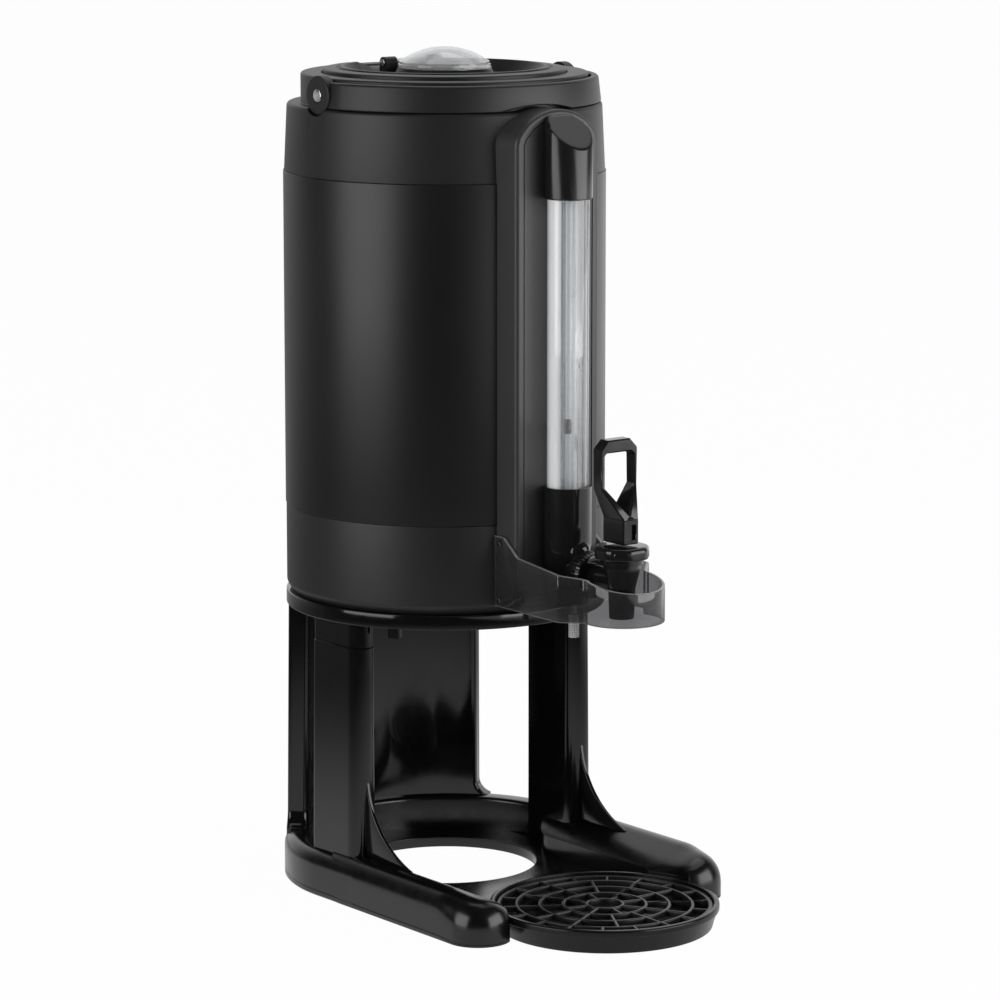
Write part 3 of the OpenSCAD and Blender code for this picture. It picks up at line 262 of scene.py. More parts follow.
def make_piece(name, sheets, body, slot, node, finish=None, sharp=32):
    """One finished piece from its sheets: joined, turned outwards, smooth except at its sharp edges."""
    points, faces, start = [], [], 0
    for sheet in sheets:
        points.append(place(sheet.points).reshape(-1, 3))
        faces += sheet.faces(start)
        start += len(points[-1])
    mesh = bpy.data.meshes.new(name)
    mesh.from_pydata(np.concatenate(points).tolist(), [], faces)
    work = bmesh.new()
    work.from_mesh(mesh)
    bmesh.ops.remove_doubles(work, verts=work.verts, dist=2e-6)
    bmesh.ops.dissolve_degenerate(work, edges=work.edges, dist=1e-6)
    bmesh.ops.recalc_face_normals(work, faces=work.faces)
    work.to_mesh(mesh)
    work.free()
    mesh.shade_smooth()
    mesh.set_sharp_from_angle(angle=radians(sharp))
    mesh.materials.append(FINISHES[finish or slot])
    piece = add_object(name, mesh)
    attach(piece, body)
    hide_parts(node)
    return piece


# Materials


def operator(operation, swapped=False):
    """A method of two values that adds a Math node."""
    return lambda a, b: a.shader.math(operation, *((b, a) if swapped else (a, b)))


class Value:
    """A socket of a node tree. Arithmetic on it adds Math nodes."""

    def __init__(self, shader, socket):
        self.shader, self.socket = shader, socket

    __add__, __sub__, __mul__, __pow__ = map(operator, ("ADD", "SUBTRACT", "MULTIPLY", "POWER"))
    __rsub__ = operator("SUBTRACT", True)


class Shader:
    """A material under construction."""

    def __init__(self, name, tree=None):
        if tree is None:
            self.material = bpy.data.materials.new(name)
            self.material.use_nodes = True
            tree = self.material.node_tree
        self.tree = tree
        tree.nodes.clear()

    def node(self, kind, settings=None, inputs=None, output=0):
        """A node of a kind. Its settings come first, then the values or links of its sockets."""
        made = self.tree.nodes.new(kind)
        for key, value in (settings or {}).items():
            setattr(made, key, value)
        for key, value in (inputs or {}).items():
            if isinstance(value, Value):
                self.tree.links.new(value.socket, made.inputs[key])
            else:
                made.inputs[key].default_value = value
        return Value(self, made.outputs[output]) if made.outputs else None

    def math(self, operation, a, b=0.0):
        return self.node("ShaderNodeMath", {"operation": operation}, {0: a, 1: b})

    def where(self):
        return self.node("ShaderNodeTexCoord", output="Object")

    def along(self, way, at=None):
        """How far a place lies along a way."""
        inputs = {0: at or self.where(), 1: way}
        return self.node("ShaderNodeVectorMath", {"operation": "DOT_PRODUCT"}, inputs, "Value")

    def noise(self, scale, detail=2.0, rough=0.5, at=None):
        inputs = {"Vector": at or self.where(), "Scale": scale, "Detail": detail, "Roughness": rough}
        return self.node("ShaderNodeTexNoise", {}, inputs, "Fac")

    def spread(self, value, low, high, start=0.3, stop=0.7, kind="LINEAR"):
        """A value from start to stop mapped to low to high."""
        inputs = {"Value": value, "From Min": start, "From Max": stop, "To Min": low, "To Max": high}
        return self.node("ShaderNodeMapRange", {"interpolation_type": kind}, inputs)

    def tone(self, value, colour, low, high):
        """A colour times low to high, as a value goes from 0 to 1."""
        dark, light = [*scaled(colour, low), 1], [*scaled(colour, high), 1]
        return self.node("ShaderNodeMix", {"data_type": "RGBA"}, {"Factor": value, 6: dark, 7: light}, 2)

    def bump(self, height, distance):
        return self.node("ShaderNodeBump", {}, {"Height": height, "Distance": distance}, "Normal")

    def ray(self, kind):
        return self.node("ShaderNodeLightPath", output=kind)

    def mirror_ray(self):
        """1 for a ray that a glossy or clear surface sent on."""
        return self.math("MAXIMUM", self.ray("Is Glossy Ray"), self.ray("Is Transmission Ray"))

    def surface(self, colour, rough, **more):
        return self.node("ShaderNodeBsdfPrincipled", {}, {"Base Color": colour, "Roughness": rough, **more})

    def glow(self, strength):
        return self.node("ShaderNodeEmission", {}, {"Color": (1, 1, 1, 1), "Strength": strength})

    def mixed(self, part, first, second):
        return self.node("ShaderNodeMixShader", {}, {"Fac": part, 1: first, 2: second})

    def finish(self, surface):
        self.node("ShaderNodeOutputMaterial", {}, {"Surface": surface})
        return self.material


def scaled(colour, factor):
    return [min(1.0, c * factor) for c in colour[:3]]


def moulded(name, colour, rough, grain, depth):
    """Satin moulded plastic: fine grain in the surface, and slow drifts of tone and of gloss."""
    s = Shader(name)
    drift = s.noise(9.0, 3.0)
    fine = s.noise(grain, 2.0, 0.6)
    gloss = s.spread(fine * 0.5 + drift * 0.5, rough - 0.03, rough + 0.03)
    return s.finish(s.surface(s.tone(drift, colour, 0.85, 1.15), gloss, Normal=s.bump(fine, depth)))


def polished(name, colour, rough, wave, specular=0.5):
    """Polished plastic: clear reflections that waver a little, with faint rubbed patches."""
    s = Shader(name)
    rub = s.noise(60.0, 4.0, 0.7)
    more = {"Specular IOR Level": specular, "Normal": s.bump(s.noise(16.0, 1.0), wave)}
    return s.finish(s.surface(s.tone(rub, colour, 0.8, 1.2), s.spread(rub, rough * 0.7, rough * 1.3), **more))


def metal(name, colour, rough, brush=(1.0, 1.0, 1.0)):
    """Metal with fine lines along the stretched axis of its noise."""
    s = Shader(name)
    stretched = s.node("ShaderNodeMapping", {}, {"Vector": s.where(), "Scale": brush}, "Vector")
    lines = s.noise(700.0, 3.0, 0.6, stretched)
    tone, gloss = s.tone(lines, colour, 0.9, 1.05), s.spread(lines, rough * 0.8, rough * 1.25)
    return s.finish(s.surface(tone, gloss, Metallic=1.0, Normal=s.bump(lines, 0.00002)))


def see_through(name, tint, body, veil, rough=0.05, backed=None, lit_edges=0.0):
    """Clear plastic: light passes, with a veil of the plastic's own colour and a gloss that grows at the edges.
    backed gives the place behind which the plastic is frosted, lit_edges how strongly a painted highlight lightens
    its upper and lower edges."""
    s = Shader(name)
    smear = s.noise(45.0, 3.0)
    facing = s.node("ShaderNodeLayerWeight", {}, {"Blend": 0.5}, "Facing")
    haze = s.spread(smear, veil * 0.85, veil * 1.15)
    if backed is not None:
        start = 0.9 * backed
        frosted = s.spread(s.along((-0.45, 0.9, 0.0)), 0.0, 0.95, start - 0.002, start + 0.004)
        haze = s.math("MAXIMUM", haze, frosted)
    # painted highlight: the upper and lower edges of the wall turn lighter and less clear
    if lit_edges:
        haze = haze + s.node("ShaderNodeAttribute", {"attribute_name": "painted_edge_light"}, {}, "Fac") * lit_edges
    clear = s.node("ShaderNodeBsdfTransparent", {}, {"Color": [*tint, 1]})
    solid = s.surface(s.tone(smear, body, 0.95, 1.05), 0.4)
    gloss = s.surface((1, 1, 1, 1), s.spread(smear, rough * 0.8, rough * 1.25), Metallic=1.0)
    return s.finish(s.mixed(facing ** 4.0 * 0.7 + 0.045, s.mixed(haze, clear, solid), gloss))


def knurled(name, colour, axis_y):
    """Metal with crossed cuts: the height is sin(n a + k z) sin(n a - k z) at the angle a about its axis."""
    s = Shader(name)
    x, y, z = (s.along(way) for way in ((1, 0, 0), (0, 1, 0), (0, 0, 1)))
    angle, climb = s.math("ARCTAN2", y - axis_y, x) * 9.0, z * 2400.0
    height = s.math("SINE", angle + climb) * s.math("SINE", angle - climb)
    # painted shade and highlight: the tone falls to a fifth in the low parts of the cuts and rises on the ridges
    shade = s.spread(height, 0.0, 1.0, -1.0, 1.0)
    return s.finish(s.surface(s.tone(shade, colour, 0.2, 1.1), 0.3, Metallic=0.5, Normal=s.bump(height, 0.0003)))


def dull(name, colour, rough):
    """Rubber or another dull surface with a fine tooth."""
    s = Shader(name)
    tooth = s.noise(500.0, 4.0, 0.7)
    gloss = s.spread(tooth, rough - 0.08, rough + 0.05)
    return s.finish(s.surface(s.tone(tooth, colour, 0.75, 1.25), gloss, Normal=s.bump(tooth, 0.00006)))


# Settings


def length(name, text, value):
    return bpy.props.FloatProperty(name=name, description=text, default=value, min=0.0, unit="LENGTH", precision=4)


def colour(name, text, value):
    return bpy.props.FloatVectorProperty(
        name=name, description=text, default=value, size=3, subtype="COLOR", min=0.0, max=1.0)


def share(name, text, value):
    return bpy.props.FloatProperty(name=name, description=text, default=value, min=0.0, max=1.0, subtype="FACTOR")


class DispenserSizes(bpy.types.PropertyGroup):
    """Roundings and small sizes of the finished surfaces."""

    body_edge: length("Body edge", "Rounding of the edges of the body", 0.0009)
    stand_edge: length("Stand edge", "Rounding of the edges of the stand", 0.003)
    rib_edge: length("Rib edge", "Rounding of the top of the grille ribs", 0.0009)
    lever_edge: length("Lever edge", "Chamfer of the edges of the lever", 0.001)
    guard_edge: length("Guard edge", "Rounding of the edges of the guard", 0.0008)
    groove: length("Face groove", "Width of the groove round the gauge face", 0.0007)


class DispenserFinishes(bpy.types.PropertyGroup):
    """Colours and gloss of the materials."""

    plastic: colour("Plastic", "Satin plastic of the collar, band, lid and handle", (0.0085, 0.0085, 0.0087))
    plastic_rough: share("Plastic roughness", "Roughness of the satin plastic", 0.46)
    shell: colour("Shell", "Coat of the steel shell", (0.004, 0.004, 0.0042))
    shell_rough: share("Shell roughness", "Roughness of the shell's coat", 0.38)
    housing: colour("Gauge housing", "Satin plastic of the gauge housing", (0.03, 0.03, 0.0305))
    stand: colour("Stand", "Polished plastic of the stand and tray", (0.0035, 0.0035, 0.0036))
    tap: colour("Tap", "Polished plastic of the tap", (0.009, 0.009, 0.0092))
    gloss_rough: share("Gloss roughness", "Roughness of the polished plastic", 0.1)
    bright: colour("Bright metal", "Pins and screws", (0.82, 0.82, 0.81))
    steel: colour("Steel", "Inner vessel", (0.6, 0.6, 0.6))
    rubber: colour("Rubber", "Seals and pads", (0.02, 0.02, 0.02))
    smoke: colour("Smoked guard", "Tint of the guard", (0.4, 0.4, 0.41))


FINISHES = {}
CLEAR_TINT, CLEAR_BODY = (0.97, 0.975, 0.98), (0.85, 0.86, 0.87)
COVER_TINT, COVER_BODY = (0.95, 0.955, 0.96), (0.9, 0.91, 0.92)
SHIELD_BODY, SMOKE_BODY = (0.86, 0.87, 0.88), (0.3, 0.3, 0.31)
THUMB_Y = -0.0765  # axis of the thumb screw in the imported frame, metres


def finishes(context):
    """Fills the list of materials by the name of their finish, once."""
    f = context.scene.dispenser_finishes
    shield_back = AXIS_Y + GAUGE_Y * MM
    if not FINISHES:
        FINISHES.update({
            "body_black": moulded("satin_plastic", f.plastic, f.plastic_rough, 1400.0, 0.000012),
            "housing_black": moulded("housing_plastic", f.housing, 0.4, 1400.0, 0.000008),
            "shell_grey": moulded("shell_coat", f.shell, f.shell_rough, 2200.0, 0.000005),
            "cap_black": moulded("cap_plastic", f.plastic, 0.24, 2200.0, 0.000003),
            "grille_black": moulded("grille_plastic", f.plastic, 0.34, 1800.0, 0.000006),
            "stand_black": polished("stand_plastic", f.stand, f.gloss_rough, 0.00025),
            "base_black": polished("base_plastic", f.stand, f.gloss_rough * 2.2, 0.00025),
            "tap_black": polished("tap_plastic", f.tap, f.gloss_rough, 0.00012),
            "tray_black": polished("tray_plastic", f.stand, 0.24, 0.0001, 0.3),
            "bright_metal": metal("polished_metal", f.bright, 0.22),
            "steel": metal("brushed_steel", f.steel, 0.3, (1.0, 1.0, 0.05)),
            "rivet_dark": metal("dark_metal", scaled(f.bright, 0.1), 0.3),
            "knurled": knurled("knurled_metal", f.bright, THUMB_Y),
            "rubber": dull("seal_rubber", f.rubber, 0.7),
            "float_black": dull("float_foam", f.rubber, 0.6),
            "clear": see_through("clear_plastic", CLEAR_TINT, CLEAR_BODY, 0.02),
            "cover_clear": see_through("cover_plastic", COVER_TINT, COVER_BODY, 0.22),
            "shield_clear": see_through("shield_plastic", CLEAR_TINT, SHIELD_BODY, 0.06, 0.06, shield_back),
            "smoke_clear": see_through("smoked_plastic", f.smoke, SMOKE_BODY, 0.05, lit_edges=0.6),
        })


class PieceOperator:
    """What the operators share: they are run in order on the loaded frame."""

    bl_options = {"REGISTER", "UNDO"}

    def execute(self, context):
        finishes(context)
        self.build(context.scene.dispenser_sizes)
        return {"FINISHED"}


# Stand


COLUMN = {"x": SHELL_R - 18.5, "y": -11.0, "w": 20.0, "d": 54.0, "top": 186.0, "round": 3.0, "lean": 1.8}
FIN = {"r": 58.0, "reach": 52.0, "rise": 2.5, "t": 3.0, "edge": 0.9}
FOOT = {"w": 47.0, "x": BASE_R - 23.8, "end": 165.0, "rear": 30.0, "round": 14.0, "slope": 23.0, "inner": 20.5,
        "inner_w": 6.5, "knee": 1.5, "nose": 23.0, "nose_soft": 7.0, "blend_from": 20.0, "blend": 28.0}
# Wall of a foot from its rim to the floor: how far each row is set in, and its share of the rim's height
FOOT_WALL = [(0.0, 0.75), (0.0, 0.3), (0.0, 0.2), (0.5, 0.185), (0.5, 0.165), (0.0, 0.15), (0.0, 0.04),
             (0.3, 0.01), (1.0, 0.0)]
RING_LOW, RING_W = BAND_Z - 10.5, 31.5
PLATE_T, HOLE_R = 8.0, 66.5
FLOOR_Z, ROOT_Z = 0.5, FOOT_H - 14
TRAY_CUT = TRAY_R + 0.8


def foot_height(x):
    """Height across a foot: a round crest towards the outside, a slope inwards and a steep inner edge."""
    half, r, slope = FOOT["w"] / 2, FOOT["round"], radians(FOOT["slope"])
    cx, cz = half - r, FOOT_H - r
    sx, sz = cx - r * sin(slope), cz + r * cos(slope)
    fall = sz - (sx - x) * tan(slope)
    knee_z = sz - (sx - FOOT["inner_w"] + half) * tan(slope)
    steep = FOOT["inner"] + (x + half) * (knee_z - FOOT["inner"]) / FOOT["inner_w"]
    return np.where(x > sx, cz + bow(r, x - cx), soft_min(fall, steep, FOOT["knee"]))


def foot_sheet():
    """A foot: heights over a plan with round ends, from a spine v = 0 to the rim v = 1, then its wall."""
    half, end, rear, n = FOOT["w"] / 2, FOOT["end"], FOOT["rear"], FOOT["nose"]
    y = -rear + (rear - end) * np.linspace(0, 1, 60)
    turn = np.linspace(0, pi, 49)[1:-1]
    across, ahead = half * np.cos(turn), half * np.sin(turn)
    edge = grid(np.concatenate([half + 0 * y, across, -half + 0 * y, -across]),
                np.concatenate([y, -end - ahead, y[::-1], -rear + ahead]))
    spine = grid(0 * edge[:, 0], np.clip(edge[:, 1], -end, -rear))
    way = edge - spine
    reach = cut_reach(spine + [FOOT["x"], 0], way)[:, None]
    v = np.concatenate([np.linspace(0, 0.45, 8), np.linspace(0.5, 0.985, 20), [1.0]])
    plan = spine + way * reach * v[:, None, None]
    from_nose = np.hypot(plan[..., 0], np.minimum(plan[..., 1] + end, 0))
    nose = FOOT_H - n + bow(n, np.maximum(from_nose - (half - n), 0))
    bar = foot_height(plan[..., 0])
    near = smooth((FOOT["blend_from"] - end - plan[..., 1]) / FOOT["blend"])
    top = bar + (soft_min(bar, nose, FOOT["nose_soft"]) - bar) * near
    rim, rim_z, inward = plan[-1], top[-1], -unit(way) * reach
    wall = [np.column_stack([rim + inward * d, FLOOR_Z + (rim_z - FLOOR_Z) * k]) for d, k in FOOT_WALL]
    points = np.concatenate([np.concatenate([plan, top[..., None]], -1), wall])
    return Sheet(points + [FOOT["x"], 0, 0], ("last",))


def cut_reach(start, way):
    """Share of each way from start that stays outside the round space of the tray."""
    c = start - [0, TRAY_Y]
    a, b = (way ** 2).sum(1), (c * way).sum(1)
    q = (c ** 2).sum(1) - TRAY_CUT ** 2
    disc = b * b - a * q
    t = np.where((disc > 0) & (b < 0), (-b - np.sqrt(np.maximum(disc, 0))) / a, 1.0)
    return np.clip(t, 0.05, 1.0)


def column_outline(grow=0.0, outward=0.0):
    """Plan of a column: flat sides, a round front and small back corners, with its outer side moved outward."""
    x, y = COLUMN["w"] / 2 + grow, COLUMN["d"] / 2 + grow
    front, back = x - 0.01, COLUMN["round"]
    plan = even(strip(-x, x, -y, y, [front, front, back, back], 14), 120)
    plan[:, 0] += outward * np.clip((plan[:, 0] + 4.0) / 10.0, 0, 1)
    return plan + [COLUMN["x"], COLUMN["y"]]


def column_sheet():
    """A column: its plan is carried upwards, and its outer side leans out a little towards the base."""
    top = COLUMN["top"]
    z = np.concatenate([[FLOOR_Z + 1], np.linspace(ROOT_Z, top - 0.5, 12), [top]])
    outward = COLUMN["lean"] * np.clip((top - z) / (top - FOOT_H), 0, 1)
    grow = [0.0] * (len(z) - 1) + [-0.5]
    return loft([column_outline(g, o) for g, o in zip(grow, outward)], z)


def fin_sheet():
    """The fin before a column: a thin plate whose front edge is an arc from the column down to the foot."""
    r, x, front = FIN["r"], COLUMN["x"], COLUMN["y"] - COLUMN["d"] / 2
    tip, heel = front - FIN["reach"], front + 8
    y0, z0 = front - r + 0.5, FOOT_H + FIN["rise"] + r
    b = np.linspace(0, acos((tip - y0) / r), 40)
    arc = grid(y0 + r * np.cos(b), z0 - r * np.sin(b))
    arc[:, 1] -= (arc[-1, 1] - foot_height(x - FOOT["x"]) - 0.5) * (b / b[-1]) ** 4
    outline = np.concatenate([arc, [[tip, ROOT_Z], [heel, ROOT_Z], [heel, z0]]])
    return soft_prism(outline, x - FIN["t"] / 2, x + FIN["t"] / 2, FIN["edge"], "x")


def plinth_sheet():
    """The block of the base under a column."""
    outlines = [column_outline(g, COLUMN["lean"]) for g in (-1.2, -0.4, -0.4)]
    return loft(outlines, [FLOOR_Z, FLOOR_Z + 0.8, FOOT_H])


def rim_sheet(edge):
    """Rim of the base: its section goes round the back half and then straight forward into each foot."""
    out, inner, run_end, taper = BASE_R, BASE_R - 21.5, 48, 0.35
    corners = [[inner, FLOOR_Z], [out - 1, FLOOR_Z], [out, 1.5], [out, 4.2], [out - 0.5, 4.6], [out - 0.5, 5.2],
               [out, 5.6], [out, BASE_H], [inner, BASE_H]]
    section = rounded(corners, [0, 0.3, 0.3, 0, 0, 0, 0, 10, edge], 9)
    ahead, bend = np.linspace(run_end, 4, 8), np.linspace(0, pi, 160)
    a = np.concatenate([0 * ahead, bend, 0 * ahead + pi])[:, None]
    run = np.concatenate([ahead, 0 * bend, ahead[::-1]])[:, None]
    r = section[:, 0] - taper * run / run_end
    return Sheet(grid(r * np.cos(a), r * np.sin(a) - run, section[:, 1]))


def plate_sheet():
    """Floor plate of the base: a flat ring from its rounded hole to the feet, the rim and the tray's space."""
    a, far, tiny = np.arange(256) * TURN / 256, 1e6, 1e-6
    d = grid(np.cos(a), np.sin(a))
    side_x, front_y, rim_r = FOOT["x"] - 6, 150.0, BASE_R - 12.0
    side = side_x / np.maximum(np.abs(d[:, 0]), tiny)
    ahead = np.where(d[:, 1] < 0, front_y / np.maximum(-d[:, 1], tiny), far)
    rim = np.where(d[:, 1] > -0.2, rim_r, far)
    start = HOLE_R + 1
    reach = np.minimum(np.minimum(side, ahead), rim) - start
    reach = start + cut_reach(d * start, d * reach[:, None]) * reach
    u, z = rounded([[1, FLOOR_Z], [1, PLATE_T], [0, PLATE_T], [0, FLOOR_Z]], [0, 0, 2.2, 0.6]).T
    r = HOLE_R + np.where(u < 0.5, u, u * (reach - HOLE_R)[:, None])
    return Sheet(grid(r * d[:, :1], r * d[:, 1:], z), ())


def panel_sheet(edge):
    """Panel behind the columns: a rounded strip bent to the base, whose ends spread in a curve at the foot."""
    half, t, curve, most, end = radians(49.5), 14.5, 12.0, 9.0, 60
    r_low, r_top = BASE_R - 1.3, SHELL_R - 0.5
    lift = curve * (1 - np.cos(np.linspace(0, pi / 2, 12)))
    z = np.concatenate([[BASE_H - 9], BASE_H + lift, np.linspace(BASE_H + 20, RING_LOW, 8)])[:, None]
    spread = np.minimum(curve - bow(curve, np.clip(BASE_H + curve - z, 0, curve)), most)
    r_out = r_low + (r_top - r_low) * (z - BASE_H) / (RING_LOW - BASE_H)
    s, across = even(box_outline(2 * half * r_low, t, edge, steps=7), 420).T
    s = s + np.sign(s) * spread * (np.abs(s) > end)
    a, r = pi / 2 - s / r_low, r_out - t / 2 + across
    return Sheet(grid(r * np.cos(a), r * np.sin(a), z))


class DISPENSER_OT_stand(PieceOperator, bpy.types.Operator):
    """Base with its feet, columns, rear panel and seat ring"""

    bl_idname = "dispenser.stand"
    bl_label = "Stand"

    def build(self, size):
        edge, top = size.stand_edge / MM, COLUMN["top"]
        base = [rim_sheet(edge), plate_sheet(), *both(foot_sheet()), *both(plinth_sheet())]
        column = [column_sheet(), fin_sheet()]
        ring = lathe(strip(SHELL_R - RING_W, SHELL_R, RING_LOW, BAND_Z, [0.6, 0.7, 0.9, 0.6]))
        stub = loft([column_outline(g) for g in (-0.9, -0.4, -0.4)], [top, top + 0.5, RING_LOW + 2])
        for name, sheets, node, finish in (
            ("base", base, "stand_base", "base_black"),
            ("right_column", column, "column_right", None),
            ("left_column", [mirrored(sheet) for sheet in column], "column_left", None),
            ("back_panel", [panel_sheet(edge)], "rear_panel", None),
            ("seat_ring_top", [ring, *both(stub)], "seat_ring", None),
        ):
            make_piece(name, sheets, "stand", "stand_black", node, finish)


GRILLE_R, GRILLE_TOP, RIB_H, RIB_W = TRAY_R - 4.5, TRAY_H - 2, 4.0, 2.6
RIB_LOW, RIB_FIRST, RIB_PITCH = GRILLE_TOP - RIB_H, 11.6 + RIB_W / 2, 16.4


def spoke_sheet(r1, r2, angle, edge):
    """A bar with rounded upper edges from radius r1 to r2, turned by an angle."""
    a = radians(angle)
    x, z = strip(-RIB_W / 2, RIB_W / 2, RIB_LOW, GRILLE_TOP - 0.05, [0, 0, edge, edge], 4).T
    y = -np.array([[r1], [r2]])
    return Sheet(grid(x * cos(a) - y * sin(a), x * sin(a) + y * cos(a) + TRAY_Y, z))


class DISPENSER_OT_tray(PieceOperator, bpy.types.Operator):
    """Drip tray and its grille of ring ribs and spokes"""

    bl_idname = "dispenser.tray"
    bl_label = "Drip tray"

    def build(self, size):
        low, lip, step, floor = TRAY_R - 5, GRILLE_R + 0.5, TRAY_H - 5, 2.5
        dish = [[0, 0], [low, 0], [TRAY_R - 1.5, step], [TRAY_R, step], [TRAY_R, TRAY_H], [lip, TRAY_H],
                [lip, RIB_LOW], [GRILLE_R - 3, RIB_LOW], [low - 5.5, floor], [0, floor]]
        dish = rounded(dish, [0, 1.5, 0.5, 0.6, 1.4, 0.8, 0.2, 0.6, 2, 0])
        make_piece("tray", [lathe(dish, (0, TRAY_Y))], "tray", "stand_black", "drip_tray", "tray_black")
        edge, half = size.rib_edge / MM, RIB_W / 2
        rings = [RIB_FIRST + i * RIB_PITCH for i in range(4)]
        ribs = [(r - half, r + half) for r in rings] + [(GRILLE_R - 3.5, GRILLE_R)]
        sheets = [lathe(strip(*rib, RIB_LOW, GRILLE_TOP, [0, 0, edge, edge], 4), (0, TRAY_Y), 160) for rib in ribs]
        spokes = ((rings[0], rings[1], 8, 30), (rings[1], rings[3], 12, 0), (rings[3], GRILLE_R - 2, 18, 0))
        for r1, r2, count, turn in spokes:
            sheets += [spoke_sheet(r1, r2, turn + i * 360 / count, edge) for i in range(count)]
        make_piece("grille", sheets, "grille", "stand_black", "drip_grille", "grille_black")


# Body


POCKET_R = 14.6


def collar_sheet(e):
    """Skirt, ledge, neck and mouth in one turn. Beside each handle end the ledge dips to a round pocket."""
    skirt, under, roof, tail = SHELL_TOP - 8, LEDGE_Z - 4, LID_SEAT - 4, LEDGE_Z - 6
    profile = [[SHELL_R - 4, skirt], [SHELL_R - 1.5, skirt], [SHELL_R - 1.5, SHELL_TOP],
               [SHELL_R - 0.7, SHELL_TOP], [SHELL_R - 3, LEDGE_Z], [NECK_R + 5, LEDGE_Z], [NECK_R, LEDGE_Z],
               [NECK_R, NECK_TOP], [MOUTH_R, NECK_TOP], [MOUTH_R, LID_SEAT], [MOUTH_R - 8, LID_SEAT],
               [MOUTH_R - 8, tail], [MOUTH_R - 4.5, tail], [MOUTH_R - 4.5, roof], [NECK_R - 3.5, roof],
               [NECK_R - 3.5, under], [SHELL_R - 6.5, under]]
    radii = [0, 0, 0, e, 2.6, 0, 0.6, 1.6, 0.8, 0.3] + 7 * [0]

    def pocket(points, a):
        x, y, z = np.moveaxis(points, -1, 0)
        dips = (np.abs(y) < POCKET_R) & (np.hypot(x, y) > NECK_R + 0.05)
        dips &= (z > under + 0.1) & (np.abs(x) > NECK_R - 20)
        return grid(x, y, np.where(dips, np.minimum(z, PIVOT_Z - bow(POCKET_R, y)), z))

    return lathe(rounded(profile, radii, 7), segments=720, change=pocket)


class DISPENSER_OT_body(PieceOperator, bpy.types.Operator):
    """Lower band, steel shell and upper collar"""

    bl_idname = "dispenser.body"
    bl_label = "Body"

    def build(self, size):
        e, r, wall = size.body_edge / MM, SHELL_R - 0.5, 1.2
        inner, seam, tongue = r - 7.4, BAND_TOP - 0.3, BAND_TOP + 8
        band = [[inner, BAND_Z], [r - 3.5, BAND_Z], [r, BAND_Z + 6], [r, seam], [r - 1, seam], [r - 1, tongue],
                [r - 4, tongue], [r - 4, BAND_Z + 8], [inner, BAND_Z + 6]]
        band = lathe(rounded(band, [0, 1.5, 5, e, 0, 0, 0, 0, 0], 6), segments=256)
        shell = lathe(strip(SHELL_R - wall, SHELL_R, BAND_TOP, SHELL_TOP, [0, 0.5, 0.5, 0]), segments=256)
        make_piece("band", [band], "dispenser", "body_black", "lower_band")
        make_piece("shell", [shell], "dispenser", "shell_grey", "outer_shell")
        make_piece("collar", [collar_sheet(e)], "dispenser", "body_black", "upper_collar")


def bail_sheet():
    """A rounded strip carried round the front half: thinner by each end, and arched over the gauge."""
    first, last, rise, thinner, thin_over = 184, 356, 4.0, 1.6, radians(9)
    a = np.radians(np.linspace(first, last, 260))
    arch = bow_radius(31.0, rise)
    low = LEDGE_Z + 0.4 + np.maximum(rise - arch + bow(arch, np.cos(a) * (NECK_R + 8)), 0)
    top = LEDGE_Z + 18.9
    out = -thinner * (1 - smooth(np.minimum(a - a[0], a[-1] - a) / thin_over))
    r, up = np.array([[2.0, 0], [9.3, 0], [7.2, 1], [2.0, 1]]).T
    corners = [grid(r + o * (r > 3), lo + up * (top - lo)) for lo, o in zip(low, out)]
    r, z = np.moveaxis(np.stack([rounded(c, [0.8, 0.9, 2.2, 1.4], 7) for c in corners]), -1, 0)
    r, a = NECK_R + r, a[:, None]
    return Sheet(grid(r * np.cos(a), r * np.sin(a), z))


class DISPENSER_OT_handle(PieceOperator, bpy.types.Operator):
    """Bail handle round the front of the neck, with its round ends and pins"""

    bl_idname = "dispenser.handle"
    bl_label = "Handle"

    def build(self, size):
        n, pivot = NECK_R, (0, 0, PIVOT_Z)
        ear = [[3.2, n + 0.6], [14, n + 0.6], [14, n + 8.3], [5.1, n + 8.3], [5.1, n + 6.7], [3.2, n + 6.7]]
        ear = rod(rounded(ear, [0, 0.8, 1.2, 0.4, 0, 0], 6), 96, pivot)
        make_piece("bail", [bail_sheet(), *both(ear)], "handle", "body_black", "bail_handle")
        pin = [[0, n - 12], [3, n - 12], [3, n + 7], [4.75, n + 7], [4.75, n + 8.6], [0, n + 8.6]]
        pin = rod(rounded(pin, [0, 0.3, 0, 0.2, 0.7, 0]), 64, pivot)
        make_piece("bail_pins", both(pin), "dispenser", "bright_metal", "handle_pins")


LID_TOP = NECK_TOP + 2.6
BOWL_RIM, BOWL_R, FILL_R = LID_TOP + 1.5, MOUTH_R - 16.0, 22
BOWL_Z, HUB_Z = BOWL_RIM - 9.0, BOWL_RIM - 1.2
DOME_R, DOME_Z = 32.3, HUB_Z + 0.4
HINGE_Y, HINGE_Z = DOME_R + 8, DOME_Z + 1.3
HINGE = (0, HINGE_Y, HINGE_Z)
SCOOP_HW, SCOOP_D, KNUCKLE = 29.0, 5.5, 4.3


